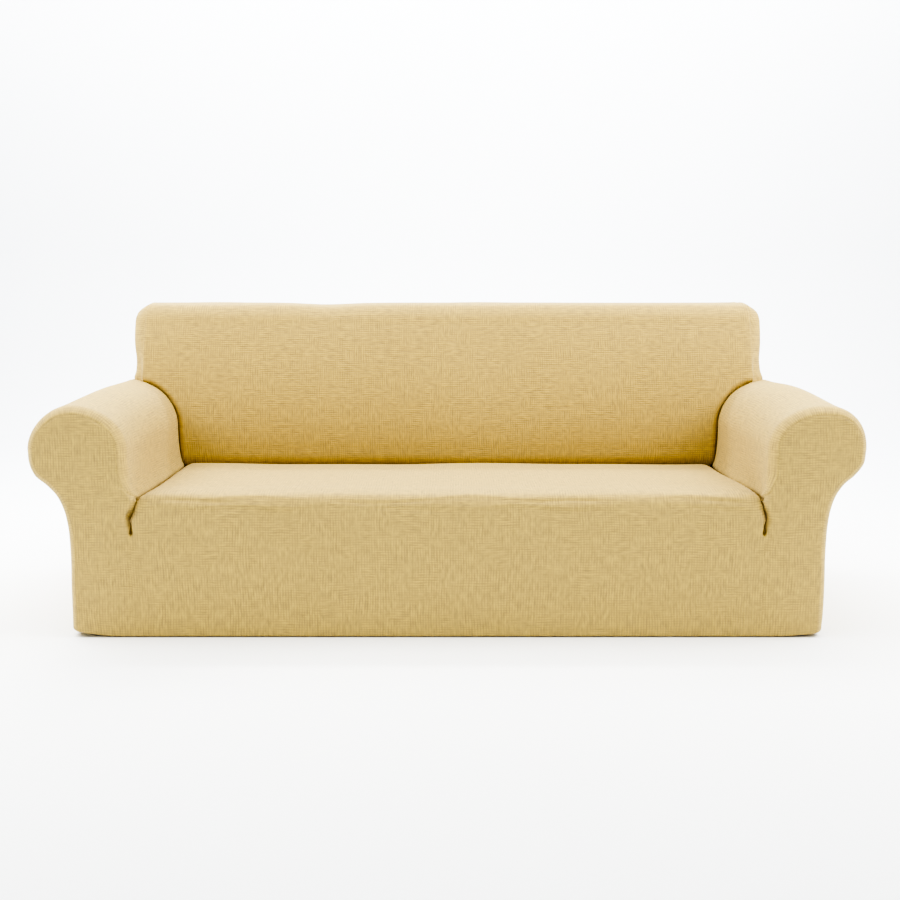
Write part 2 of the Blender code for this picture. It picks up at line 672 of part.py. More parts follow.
def point_normals(points, cells):
    """Unit normal at each point: the mean of its faces' normals, each by its corner's angle."""
    normals = face_normals(points, cells)
    outward = np.zeros_like(points)
    for k in range(4):
        here = points[cells[:, k]]
        ahead = points[cells[:, (k + 1) % 4]] - here
        behind = points[cells[:, k - 1]] - here
        turn = np.linalg.norm(np.cross(ahead, behind), axis=1)
        angle = np.arctan2(turn, np.einsum("ij,ij->i", ahead, behind))
        np.add.at(outward, cells[:, k], normals * angle[:, None])
    return outward / np.linalg.norm(outward, axis=1, keepdims=True)


def settle(points, outward):
    """Adds the sag of the top edge, the lifted front corners and the slow unevenness."""
    moved = points + outward * uneven(points)[:, None]
    x, depth, z = points.T
    sag = BACK_DIP * np.exp(-((x - BACK_DIP_ACROSS) / BACK_DIP_WIDTH) ** 2)
    moved[:, 2] -= sag * ramp((z - BACK_DIP_FROM) / BACK_DIP_RISE)
    corner = np.hypot(np.maximum(ARM_SIDE[-1, 1] - np.abs(x), 0.0), depth)
    reach = ramp(corner / HEM_LIFT_REACH)
    moved[:, 2] += HEM_LIFT * (1.0 - reach) * (1.0 - ramp(z / HEM_LIFT_REACH))
    return moved


def shell(points, cells, outward, order):
    """Closed thin solid on a panel: outer face, inner face and rim.

    Edge points step back half the seam's gap, square to the edge and to the cloth.  Rims
    are split by the joint's own point order, so two panels' rims lie parallel.
    """
    ring = np.concatenate([cells[:, [k, (k + 1) % 4]] for k in range(4)])
    keys = np.sort(ring, axis=1)
    _, where, count = np.unique(keys, axis=0, return_inverse=True, return_counts=True)
    rim = ring[count[where.reshape(-1)] == 1]
    normals = face_normals(points, cells)
    facing = np.zeros(len(points))
    corners = np.zeros(len(points))
    for k in range(4):
        np.add.at(facing, cells[:, k], np.einsum("ij,ij->i", normals, outward[cells[:, k]]))
        np.add.at(corners, cells[:, k], 1.0)
    reach = CLOTH / np.maximum(facing / corners, MITRE_LEAST)
    back = np.zeros_like(points)
    overlap = np.zeros(len(points))
    first = np.zeros_like(points)
    along = points[rim[:, 1]] - points[rim[:, 0]]
    for end in (0, 1):
        into = np.cross(outward[rim[:, end]], along)
        into /= np.linalg.norm(into, axis=1, keepdims=True)
        np.add.at(back, rim[:, end], into)
        if end == 0:
            first[rim[:, 0]] = into
        else:
            overlap[rim[:, 1]] = np.einsum("ij,ij->i", first[rim[:, 1]], into)
    on_rim = np.unique(rim)
    step = np.zeros_like(points)
    step[on_rim] = back[on_rim] / (1.0 + overlap[on_rim])[:, None] * (SEAM_GAP / 2.0)
    outer = points + step
    inner = points - outward * reach[:, None] + step

    triangles = np.concatenate([cells[:, [0, 1, 2]], cells[:, [0, 2, 3]]])
    count = len(points)
    start, end = rim[:, 0], rim[:, 1]
    low_first = order[start] < order[end]
    split_a = np.column_stack([end, start, start + count, end, start + count, end + count])
    split_b = np.column_stack([end, start, end + count, start, start + count, end + count])
    sides = np.where(low_first[:, None], split_a, split_b).reshape(-1, 3)
    faces = np.concatenate([triangles, triangles[:, ::-1] + count, sides])
    return np.concatenate([outer, inner]), faces


# ----------------------------------------------------------------------------- objects
def cloth_material(name, colour, roughness):
    """A plain stretch-cloth material."""
    material = bpy.data.materials.new(name)
    material.use_nodes = True
    shader = material.node_tree.nodes["Principled BSDF"]
    shader.inputs["Base Color"].default_value = (*colour, 1.0)
    shader.inputs["Roughness"].default_value = roughness
    shader.inputs["Metallic"].default_value = 0.0
    return material


def add_panel(name, points, faces, material):
    """One panel as a smooth-shaded mesh object."""
    mesh = bpy.data.meshes.new(name)
    mesh.from_pydata(points.tolist(), [], faces.tolist())
    mesh.update()
    mesh.shade_smooth()
    mesh.materials.append(material)
    item = bpy.data.objects.new(name, mesh)
    bpy.context.scene.collection.objects.link(item)
    return item


COLOURS = {
    "front_panel": (0.61, 0.45, 0.20),
    "arm_panel_left": (0.66, 0.50, 0.24),
    "arm_panel_right": (0.66, 0.50, 0.24),
    "inside_back": (0.62, 0.46, 0.21),
    "back_side_left": (0.63, 0.47, 0.22),
    "back_side_right": (0.63, 0.47, 0.22),
    "outside_back": (0.58, 0.43, 0.19),
}
ROUGHNESS = 0.9


def build():
    """Removes what is in the scene and builds the seven panels."""
    for item in list(bpy.data.objects):
        bpy.data.objects.remove(item)
    whole_points, whole_cells, owners, offset = [], [], [], 0
    for name, grids in panels().items():
        for points, cells in grids:
            whole_points.append(points)
            whole_cells.append(cells + offset)
            owners += [name] * len(cells)
            offset += len(points)
    points, cells = weld(np.concatenate(whole_points), np.concatenate(whole_cells))
    owners = np.array(owners)

    points = settle(points, point_normals(points, cells))
    outward = point_normals(points, cells)
    points = points - (0.0, DEPTH / 2.0, 0.0)

    for name, colour in COLOURS.items():
        own = cells[owners == name]
        used, local = np.unique(own, return_inverse=True)
        solid = shell(points[used], local.reshape(-1, 4), outward[used], used)
        add_panel(name, *solid, cloth_material(name + "_cloth", colour, ROUGHNESS))


build()
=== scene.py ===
"""The looks of a fitted stretch slipcover for a three-place sofa with rolled arms.

Each cut panel of the cover is a thin closed sheet of jacquard knit.  Its outer face is a
grid of points worked out with numpy from the seam lines it shares with its neighbours;
seams, gathers and puckers are pressed into it, and the inner face follows at the cloth's
thickness.  +X is to the right of someone facing the sofa, +Y the back, +Z up, in metres.
"""

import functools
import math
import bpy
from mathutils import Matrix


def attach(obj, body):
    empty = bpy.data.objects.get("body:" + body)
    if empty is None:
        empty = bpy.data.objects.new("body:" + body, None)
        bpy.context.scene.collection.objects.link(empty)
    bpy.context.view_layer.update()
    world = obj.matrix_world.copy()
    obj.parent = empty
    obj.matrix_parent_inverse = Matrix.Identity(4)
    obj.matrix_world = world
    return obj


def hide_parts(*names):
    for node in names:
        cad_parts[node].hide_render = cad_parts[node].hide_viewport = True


bl_info = {
    "name": "Sofa Slipcover",
    "version": (1, 0, 0),
    "blender": (4, 5, 0),
    "location": "3D View > Sidebar > Slipcover",
    "description": "Builds the sewn panels of a stretch sofa slipcover and a studio to show it in",
    "category": "Add Mesh",
}

import bpy
import numpy as np
from mathutils import Vector

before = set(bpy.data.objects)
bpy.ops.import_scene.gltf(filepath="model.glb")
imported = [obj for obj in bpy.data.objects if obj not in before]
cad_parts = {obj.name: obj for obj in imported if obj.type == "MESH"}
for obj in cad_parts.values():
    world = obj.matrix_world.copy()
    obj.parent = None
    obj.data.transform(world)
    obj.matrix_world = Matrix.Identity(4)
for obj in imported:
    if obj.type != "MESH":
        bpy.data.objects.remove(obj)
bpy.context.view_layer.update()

# ---------------------------------------------------------------- the cover's own sizes, metres
DEPTH = 0.88              # front face to rear face
SEAM_GAP = 0.0003         # clear gap between two panels at a seam
WELD = 1e-5               # points closer than this are one point
MITRE_LEAST = 0.80        # keeps the cloth's inner corner from running deep in a crease

# hem, turned under by its elastic
HEM_RADIUS = 0.011
HEM_LIP = 0.018
HEM_LIP_SHARE = 0.4       # share of the hem's rows on the flat lip
HEM_LIFT = {-1: 0.011, 1: 0.007}   # rise of the hem at the two front corners
HEM_LIFT_REACH = 0.12

# arms
ROLL_ACROSS = 0.941
ROLL_HEIGHT = 0.478
ROLL_INWARD = 0.138       # roll centre to its inner side
ROLL_OUTWARD = 0.110      # roll centre to its outer side
ROLL_FULLNESS = {-1: 1.12, 1: 0.90}   # below 1 the outer top is fuller than an ellipse
ROLL_RISE = 0.110         # roll centre to its crown at the front
ROLL_SWELL = 0.022        # the crown is this much higher at the backrest
SWELL_LENGTH = 0.45
EDGE_INSET = 0.0205       # seam to outline, seen square to a front or rear face
EDGE_RUN = 0.034          # depth over which the rounded edge reaches the outline
EDGE_LEAST = 0.3          # share of that depth left at the seat's crease
EDGE_START = np.radians(28.0)
FACE_CROWN = 0.004        # swell of an arm's flat front and of the rear panel
REAR_CROWN_REACH = 0.20   # width over which the rear panel's swell grows
REAR_BLEND = 0.35         # width over which its rows bend from level to the arm's outline

# the outer side of an arm, from the roll's widest line down to the hem
ARM_SIDE = np.array([
    # height, left, right (across)
    (0.478, 1.0510, 1.0510),
    (0.440, 1.0480, 1.0455),
    (0.410, 1.0350, 1.0235),
    (0.386, 1.0080, 0.9960),
    (0.360, 0.9850, 0.9780),
    (0.325, 0.9690, 0.9655),
    (0.285, 0.9605, 0.9590),
    (0.220, 0.9565, 0.9555),
    (0.120, 0.9575, 0.9560),
    (HEM_RADIUS, 0.9570, 0.9550),
])

# crease between the seat and an arm, from the front notch back
SEAT_CREASE = np.array([
    # depth, left, right (across)
    (0.00, 0.7830, 0.7900),
    (0.08, 0.7790, 0.7955),
    (0.14, 0.7785, 0.7960),
    (0.21, 0.7790, 0.7905),
    (0.32, 0.7800, 0.7835),
    (0.50, 0.7830, 0.7860),
    (0.62, 0.7920, 0.7920),
])
CREASE_HEIGHT = 0.347
SEAT_FORWARD = 0.022      # the middle's first rows on the seat lie this far forward
SEAT_FORWARD_REACH = 0.12
SEAT_SHOULDER = 0.040     # width over which the seat rounds down to its crease

# the notch that gathers each arm front to the seat front
NOTCH_LINE = np.array([
    # height, left, right (across)
    (0.255, 0.7930, 0.7930),
    (0.283, 0.7950, 0.7965),
    (0.300, 0.7985, 0.8005),
    (0.322, 0.7900, 0.7975),
    (0.347, 0.7830, 0.7900),
])
NOTCH_FOOT = 0.258        # height where the notch starts
NOTCH_OPENS = 0.030       # height over which it reaches its full depth
NOTCH_DEPTH = 0.026
NOTCH_HEAD = 0.350        # above this the arm's front edge comes forward again
NOTCH_CLOSES = 0.028
NOTCH_SHOULDER = 0.013    # width over which the cloth rounds into the notch
SEAM_EASE = 0.55          # section places over which the arm's front edge opens

# middle line of the skirt, the soft front edge and the seat
SEAT_PATH = np.array([
    # depth, height
    (0.0000, HEM_RADIUS),
    (-0.0030, 0.140),
    (-0.0030, 0.250),
    (0.0000, 0.325),
    (0.0050, 0.349),
    (0.0180, 0.3625),
    (0.0420, 0.3680),
    (0.1200, 0.3710),
    (0.3000, 0.3725),
    (0.4800, 0.3700),
    (0.5550, 0.3660),
    (0.5850, 0.3590),
    (0.6040, CREASE_HEIGHT),
])
SEAT_EDGE_ROW = 4         # its row at the foot of the soft front edge

# middle line of the backrest: up its front and over its top to the rear seam
BACK_PATH = np.array([
    # depth, height
    (0.6040, CREASE_HEIGHT),
    (0.5810, 0.3720),
    (0.5725, 0.4150),
    (0.5710, 0.4650),
    (0.5770, 0.5350),
    (0.5900, 0.6110),
    (0.6110, 0.7000),
    (0.6310, 0.7700),
    (0.6440, 0.8070),
    (0.6640, 0.8300),
    (0.6950, 0.8385),
    (0.7600, 0.8390),
    (0.8300, 0.8370),
    (0.8600, 0.8300),
    (0.8750, 0.8170),
    (0.8800, 0.8000),
])
BACK_FACE_ROWS = 9        # row of BACK_PATH at the front top corner; height grows up to it
BACK_REAR_ROW = 13        # its row at the rear top corner

# half widths of the backrest: of its flat sides and of the seams in front of them
BACK_SIDE = np.array([
    # height, side, seam (across)
    (0.605, 0.9600, 0.9088),
    (0.625, 0.9510, 0.9088),
    (0.655, 0.9455, 0.9088),
    (0.720, 0.9470, 0.9095),
    (0.770, 0.9445, 0.9080),
    (0.798, 0.9415, 0.9070),
    (0.812, 0.9375, 0.9060),
    (0.824, 0.9325, 0.9040),
    (0.839, 0.9200, 0.9000),
])
REAR_INSET = 0.040        # an arm's rear corner lies this far inside the backrest's side
SIDE_SHOULDER = 0.030     # width over which a side rounds to its seams
BACK_TUCK = 0.010         # how far the backrest sinks behind the arms
TUCK_OPENS = 0.6          # section places over which it reaches this depth
TUCK_EASE = 0.4           # share it loses towards the side seam
TUCK_EASE_FROM = 1.5
TUCK_EASE_OVER = 0.45
BACK_EDGE_TUCK = 0.004    # tuck left at the backrest's side seams
EDGE_TUCK_RISE = 0.05     # height above the arm over which the side seam comes forward
SEAM_FRONT = 0.66         # depth up to which a side seam counts as in front
BACK_SHOULDER = 0.022     # width over which the backrest rounds into its tuck
CREASE_PULL = 0.35        # how closely the rows in the middle follow the crease's rows
CORNER_RISE = 0.07        # share of the path by which they lie above it at the corner
BACK_BLEND = 0.30         # width over which the rows bend from level to the arm's crease
BACK_DIP = 0.005          # sag of the top edge left of the middle
BACK_DIP_ACROSS = -0.370
BACK_DIP_WIDTH = 0.085
BACK_DIP_FROM = 0.70      # height where the sag starts
BACK_DIP_RISE = 0.12

CORNER_PLACE = 1.851      # place on the arm's section where the backrest's side seam lands
SIDE_PLACE = 2.085        # place where the backrest's flat side stands on the roll
SIDE_RUN = 0.28           # share of the backrest's thickness over which it gets there

UNEVEN = 0.0018           # the whole cover's slow unevenness
UNEVEN_FROM = 0.06        # height over which it starts above the hem
UNEVEN_WAVES = np.array([
    # share, across, depth, height (radians per metre), start
    (1.0, 7.3, 9.1, 6.7, 0.6),
    (0.6, 15.7, 12.3, 4.2, 3.3),
])

FINE_STEPS = 3000         # samples along a path when a height or depth is looked up
LEFT, RIGHT = -1, 1
PI_HALF = np.pi / 2


# ------------------------------------------------------------------------- places of the grids
def refine(places, parts):
    """Each step between neighbouring places split into its own number of even parts."""
    at = np.concatenate([[0.0]] + [k + np.arange(1, n + 1) / n for k, n in enumerate(parts)])
    return np.interp(at, np.arange(len(places)), places)


def join(*runs):
    """Joins runs of places end to end, each run starting where the last one stopped."""
    return np.concatenate([runs[0]] + [run[1:] for run in runs[1:]])


CROWN_PARTS = (7, 5, 4, 4, 5, 5, 5, 5)
HEM_ROWS = refine((0.0, 0.40, 0.70, 1.0), (2, 3, 3))
LIFT_HEIGHTS = refine((HEM_RADIUS, 0.095, 0.180, NOTCH_FOOT, 0.275, 0.296, 0.322, CREASE_HEIGHT),
                      (9, 10, 9, 5, 6, 7, 7))[1:]
INNER_PLACES = refine((0.0, 0.06, 0.22, 0.45, 0.72, 1.0, 1.25, 1.5), (4, 4, 7, 8, 8, 9, 9))
CROWN_PLACES = refine((1.5, 1.62, 1.74, CORNER_PLACE, 1.97, 2.10, 2.23, 2.36, 2.5), CROWN_PARTS)
OUTER_PLACES = refine((2.5, 2.68, 2.84, 3.0, 3.12, 3.21, 3.29, 3.37, 3.45, 3.54, 3.64,
                       3.76, 3.88, 4.0), (9, 9, 8, 8, 7, 7, 7, 7, 6, 5, 9, 10, 10))
EDGE_STEPS = refine((0.0, 0.30, 0.62, 1.0), (4, 4, 4))
ARM_STEPS = refine((0.0, 0.13, 0.28, 0.44, 0.60, 0.75, 0.87, 0.945, 0.985, 1.0),
                   (10, 9, 9, 9, 9, 9, 8, 6, 5))
SIDE_STEPS = refine((0.0, 0.28, 0.52, 0.76, 1.0), (10, 7, 7, 8))
FACE_COLUMNS = refine((0.0, 0.06, 0.14, 0.25, 0.38, 0.53, 0.69, 0.85, 1.0), CROWN_PARTS)
HALF_COLUMNS = refine((0.0, 0.17, 0.33, 0.49, 0.63, 0.76, 0.86, 0.925, 0.956, 0.975, 0.99, 1.0),
                      (14, 13, 13, 12, 11, 10, 8, 5, 4, 4, 4))
BACK_RISE_STEPS = 30      # rows of a backrest side, from arm to top corner
LAST_STEPS = 5            # rows from the rear top corner down to the rear seam
REAR_RISE = BACK_RISE_STEPS + 1 - LAST_STEPS


# ------------------------------------------------------------------------------ small functions
def ramp(x):
    """Smooth step: 0 up to x = 0, 1 from x = 1."""
    x = np.clip(x, 0.0, 1.0)
    return x * x * (3.0 - 2.0 * x)


def shoulder(distance, width):
    """1 on a seam, falling as a parabola to 0 at the width away from it."""
    return np.clip(1.0 - distance / width, 0.0, 1.0) ** 2


def bump(x, width):
    """Bell: 1 at x = 0 and falling as a Gaussian of the width."""
    return np.exp(-(x / width) ** 2)


def column(table, side):
    """The left or right column of a table with columns key, left, right."""
    return table[:, 1] if side == LEFT else table[:, 2]


def chords(points):
    """Share of the length along a row of points, from 0 to 1."""
    steps = np.linalg.norm(np.diff(points, axis=0), axis=1)
    length = np.concatenate([[0.0], np.cumsum(steps)])
    return length / length[-1]


def hermite(knots, values, at):
    """Smooth curve through values at knots: cubic pieces with central-difference slopes."""
    slopes = np.gradient(values, knots, axis=0)
    at = np.clip(np.asarray(at, float), knots[0], knots[-1])
    k = np.clip(np.searchsorted(knots, at, side="right") - 1, 0, len(knots) - 2)
    wide = (slice(None),) * at.ndim + (None,) * (values.ndim - 1)
    span = (knots[k + 1] - knots[k])[wide]
    f = (at - knots[k])[wide] / span
    start, end = values[k], values[k + 1]
    leave, arrive = slopes[k] * span, slopes[k + 1] * span
    rise = f * f * (3.0 - 2.0 * f)
    return (start + (end - start) * rise + leave * f * (1.0 - f) ** 2
            - arrive * f * f * (1.0 - f))


def smooth_curve(points, share):
    """Point at each share of the length of a smooth curve through the points."""
    return hermite(chords(points), points, share)


def clearance(points, line):
    """Distance of each point to the nearest of a line's straight pieces."""
    flat = points.reshape(-1, points.shape[-1])
    start, along = line[:-1], np.diff(line, axis=0)
    nearest = np.full(len(flat), np.inf)
    for origin, step in zip(start, along):
        offset = flat - origin
        share = np.clip(offset @ step / (step @ step), 0.0, 1.0)
        np.minimum(nearest, np.linalg.norm(offset - share[:, None] * step, axis=1), out=nearest)
    return nearest.reshape(points.shape[:-1])


def coons(bottom, top, left, right):
    """Grid filled between four edge curves: the two ruled surfaces less the corners' one.

    bottom and top run across, left and right run up; the result's rows run up.
    """
    u = ((chords(bottom) + chords(top)) / 2.0)[None, :, None]
    v = ((chords(left) + chords(right)) / 2.0)[:, None, None]
    ruled_up = (1.0 - v) * bottom[None] + v * top[None]
    ruled_across = (1.0 - u) * left[:, None] + u * right[:, None]
    corners = ((1.0 - v) * ((1.0 - u) * bottom[0] + u * bottom[-1])
               + v * ((1.0 - u) * top[0] + u * top[-1]))
    return ruled_up + ruled_across - corners


def stack(across, depth, height):
    """Points (across, depth, height) from three arrays, spread to one shape."""
    return np.stack(np.broadcast_arrays(across, depth, height), axis=-1)


# -------------------------------------------------------------------------------- shared outlines
def hem_turn(place):
    """Inward and up of the turned hem: 0 is the lip's free edge, 1 the top of the turn."""
    lip = np.clip(place / HEM_LIP_SHARE, 0.0, 1.0)
    angle = PI_HALF * (1.0 - np.clip((place - HEM_LIP_SHARE) / (1.0 - HEM_LIP_SHARE), 0, 1))
    inward = HEM_LIP * (1.0 - lip) + HEM_RADIUS * (1.0 - np.cos(angle))
    return inward, HEM_RADIUS * (1.0 - np.sin(angle))


def crease_across(side, depth):
    """Across of the seat's crease with an arm at a depth."""
    return hermite(SEAT_CREASE[:, 0], column(SEAT_CREASE, side), depth)


def notch_across(side, height):
    """Across of the line where an arm front joins the seat front."""
    return hermite(NOTCH_LINE[:, 0], column(NOTCH_LINE, side), height)


def notch_pull(height):
    """How deep the notch draws the cloth in at a height."""
    opens = ramp((height - NOTCH_FOOT) / NOTCH_OPENS)
    closes = ramp((height - NOTCH_HEAD) / NOTCH_CLOSES)
    return NOTCH_DEPTH * opens * (1.0 - closes)


def rising_part(path, last_row):
    """Shares and points along a path up to the row where its height stops growing."""
    share = np.linspace(0.0, chords(path)[last_row], FINE_STEPS)
    return share, smooth_curve(path, share)


def back_depth(height):
    """Depth of the backrest's front face at a height."""
    _, fine = rising_part(BACK_PATH, BACK_FACE_ROWS)
    return np.interp(height, fine[:, 1], fine[:, 0])


def arm_section(side, place, depth):
    """Across and up of an arm's outline.

    Places run 0-1 up the inner side, 1-2 and 2-3 over the inner and outer top as quarter
    ellipses, 3-4 down the outer side and 4-5 round the turned hem.
    """
    place, depth = np.broadcast_arrays(np.asarray(place, float), depth)
    rise = ROLL_RISE + ROLL_SWELL * ramp(depth / SWELL_LENGTH)
    crease = crease_across(side, depth)
    climb = np.clip(place, 0.0, 1.0)
    inner_turn = PI_HALF * np.clip(place - 1.0, 0.0, 1.0)
    outer_turn = PI_HALF * np.clip(place - 2.0, 0.0, 1.0)
    outline = np.column_stack([column(ARM_SIDE, side), ARM_SIDE[:, 0]])
    down = smooth_curve(outline, np.clip(place - 3.0, 0.0, 1.0))
    turn_in, turn_up = hem_turn(np.clip(5.0 - place, 0.0, 1.0))
    inner = ROLL_ACROSS - ROLL_INWARD
    parts = [place < 1.0, place < 2.0, place < 3.0, place < 4.0]
    across = np.select(parts, [
        crease + (inner - crease) * (1.0 - (1.0 - climb) ** 3),
        ROLL_ACROSS - ROLL_INWARD * np.cos(inner_turn),
        ROLL_ACROSS + ROLL_OUTWARD * np.sin(outer_turn) ** ROLL_FULLNESS[side],
        down[..., 0],
    ], outline[-1, 0] - turn_in)
    height = np.select(parts, [
        CREASE_HEIGHT + (ROLL_HEIGHT - CREASE_HEIGHT) * climb,
        ROLL_HEIGHT + rise * np.sin(inner_turn),
        ROLL_HEIGHT + rise * np.maximum(np.cos(outer_turn), 0.0) ** ROLL_FULLNESS[side],
        down[..., 1],
    ], turn_up)
    return across, height


def arm_inward(side, place, depth):
    """Unit direction (across, up) into an arm, square to its outline, level at the hem."""
    step = 0.01
    ahead = np.stack(arm_section(side, np.minimum(place + step, 4.0), depth), axis=-1)
    behind = np.stack(arm_section(side, np.clip(place - step, 0.0, 4.0 - step), depth), axis=-1)
    along = ahead - behind
    inward = np.stack([along[..., 1], -along[..., 0]], axis=-1)
    return inward / np.linalg.norm(inward, axis=-1, keepdims=True)


def edge_opening(place):
    """Share of the rounded front edge's full size: it closes towards the seat's crease."""
    return ramp(place / SEAM_EASE)


def back_tuck(place):
    """How far the backrest sinks behind an arm along their crease."""
    ease = TUCK_EASE * ramp((place - TUCK_EASE_FROM) / TUCK_EASE_OVER)
    return BACK_TUCK * ramp(place / TUCK_OPENS) * (1.0 - ease)


def arm_surface(side, place, run):
    """Point of an arm's cloth.

    Place is the place on its section.  Run goes 0-1 round the front edge, 1-2 back to the
    backrest, 2-3 beside the backrest and 3-4 round the rear edge.  A rounded edge is an
    arc: it moves in from the outline by 1 - sin of the arc's angle and along the depth by
    the angle's cosine.
    """
    place, run = np.broadcast_arrays(np.asarray(place, float), np.asarray(run, float))
    turn_in, _ = hem_turn(np.clip(5.0 - place, 0.0, 1.0))
    turn_in = np.where(place > 4.0, turn_in, 0.0)
    _, seam_height = arm_section(side, place, 0.0)
    pull = np.where(place < 1.0, notch_pull(np.maximum(seam_height, NOTCH_HEAD)), 0.0)
    front_run = EDGE_RUN * (EDGE_LEAST + (1.0 - EDGE_LEAST) * edge_opening(place))

    behind = np.minimum(place, CORNER_PLACE)
    _, crease_height = arm_section(side, behind, DEPTH)
    reach = back_depth(crease_height) + back_tuck(behind)

    start = pull + turn_in
    angle = EDGE_START + (PI_HALF - EDGE_START) * np.clip(run, 0.0, 1.0)
    rear_angle = EDGE_START + (PI_HALF - EDGE_START) * np.clip(4.0 - run, 0.0, 1.0)
    arc = (np.cos(EDGE_START) - np.cos(angle)) / np.cos(EDGE_START)
    rear_arc = (np.cos(EDGE_START) - np.cos(rear_angle)) / np.cos(EDGE_START)
    rear_start = DEPTH - turn_in
    depth = np.select(
        [run <= 1.0, run <= 2.0, run <= 3.0],
        [start + front_run * arc,
         start + front_run + (reach - start - front_run) * np.clip(run - 1.0, 0, 1),
         reach + (rear_start - EDGE_RUN - reach) * np.clip(run - 2.0, 0, 1)],
        rear_start - EDGE_RUN * rear_arc)

    # beside the backrest the lines of the grid slide outwards to its flat side
    near = np.clip((3.0 - place) / (3.0 - CORNER_PLACE), 0.0, 1.0)
    slide = (SIDE_PLACE - CORNER_PLACE) * ramp((run - 2.0) / SIDE_RUN) * near
    slid = place + np.where(place >= CORNER_PLACE, slide, 0.0)
    across, height = arm_section(side, slid, depth)

    open_front = (1.0 - np.sin(angle)) / (1.0 - np.sin(EDGE_START)) * edge_opening(place)
    open_rear = (1.0 - np.sin(rear_angle)) / (1.0 - np.sin(EDGE_START))
    inset = EDGE_INSET * np.where(run < 2.0, open_front, open_rear)
    inward = arm_inward(side, slid, depth)
    across = across + inward[..., 0] * inset
    height = height + inward[..., 1] * inset
    corner = REAR_INSET * open_rear * near ** 2 * (run > 2.0)
    return stack(side * (across - corner), depth, height)


def back_side_across(height):
    """Half width of the backrest's flat sides at a height."""
    return hermite(BACK_SIDE[:, 0], BACK_SIDE[:, 1], height)


def back_seam_across(height):
    """Half width between the backrest's side seams at a height."""
    return hermite(BACK_SIDE[:, 0], BACK_SIDE[:, 2], height)


# ----------------------------------------------------------------------------------------- seams
ARM_PLACES = join(INNER_PLACES, CROWN_PLACES, OUTER_PLACES, 5.0 - HEM_ROWS[::-1])
CORNER_ROW = int(np.flatnonzero(ARM_PLACES == CORNER_PLACE)[0])
ARM_RUNS = join(EDGE_STEPS, 1.0 + ARM_STEPS, 2.0 + SIDE_STEPS, 4.0 - EDGE_STEPS[::-1])
BACK_RUN = len(EDGE_STEPS) + len(ARM_STEPS) - 2
COLUMNS = join(-HALF_COLUMNS[::-1], HALF_COLUMNS)
NOTCH_ROW = len(HEM_ROWS) + len(LIFT_HEIGHTS) - 1     # row of the seat panel at the notch's head
SLIT_FOOT = len(HEM_ROWS) + int(np.searchsorted(LIFT_HEIGHTS, NOTCH_FOOT + 0.005))


def halves(edge_of):
    """For each side: its edge line, which columns are its own, and their shares outwards."""
    for side in (LEFT, RIGHT):
        half = COLUMNS * side >= 0.0
        yield edge_of(side), half, np.abs(COLUMNS[half])[None, :]


def arm_grid(side):
    """Every point of an arm's cloth, rows along the section and columns along the depth."""
    return arm_surface(side, ARM_PLACES[:, None], ARM_RUNS[None, :])


def back_rows():
    """Shares of BACK_PATH for the backrest's rows: middle line, and where the sides land.

    Up to the corner row they follow the arm's crease; from there they climb to the top
    corner and run over the top.
    """
    fine_share, fine = rising_part(BACK_PATH, BACK_FACE_ROWS)
    _, crease_height = arm_section(RIGHT, ARM_PLACES[:CORNER_ROW + 1], DEPTH)
    at_crease = np.interp(crease_height, fine[:, 1], fine_share)
    even = (at_crease[-1] + CORNER_RISE) * np.linspace(0.0, 1.0, CORNER_ROW + 1)
    middle = CREASE_PULL * at_crease + (1.0 - CREASE_PULL) * even
    top_corner, rear_corner = chords(BACK_PATH)[[BACK_FACE_ROWS, BACK_REAR_ROW]]
    climb = np.linspace(at_crease[-1], top_corner, BACK_RISE_STEPS + 1)
    middle_climb = np.linspace(middle[-1], top_corner, BACK_RISE_STEPS + 1)
    over = np.linspace(top_corner, rear_corner, len(SIDE_STEPS) + len(EDGE_STEPS) - 1)
    last = np.linspace(rear_corner, 1.0, LAST_STEPS + 1)
    return join(middle, middle_climb, over, last), join(at_crease, climb, over, last)


def back_edge(side):
    """The backrest's side line: the arm's crease, then its side seam over the top."""
    _, edge_share = back_rows()
    crease = arm_surface(side, ARM_PLACES[:CORNER_ROW + 1], 2.0)
    seam = smooth_curve(BACK_PATH, edge_share[CORNER_ROW + 1:])
    height = seam[:, 1]
    corner_height = crease[-1, 2]
    corner_sink = crease[-1, 1] - back_depth(corner_height) - BACK_EDGE_TUCK
    sink = BACK_EDGE_TUCK + corner_sink * shoulder(height - corner_height, EDGE_TUCK_RISE)
    front = 1.0 - ramp((seam[:, 0] - SEAM_FRONT) / EDGE_TUCK_RISE)
    across = side * back_seam_across(height)
    return np.concatenate([crease, stack(across, seam[:, 0] + sink * front, height)])


# ---------------------------------------------------------------------------------------- panels
def seat_edge(side):
    """The seat panel's side line: up the notch, then back along the arm's crease."""
    inward, up = hem_turn(HEM_ROWS)
    foot = stack(side * notch_across(side, up), inward, up)
    face = np.interp(LIFT_HEIGHTS, SEAT_PATH[:SEAT_EDGE_ROW, 1], SEAT_PATH[:SEAT_EDGE_ROW, 0])
    front = stack(side * notch_across(side, LIFT_HEIGHTS), face + notch_pull(LIFT_HEIGHTS),
                  LIFT_HEIGHTS)
    crease = arm_surface(side, 0.0, ARM_RUNS[:BACK_RUN + 1])
    front[-1] = crease[0]
    return np.concatenate([foot, front, crease[1:]])


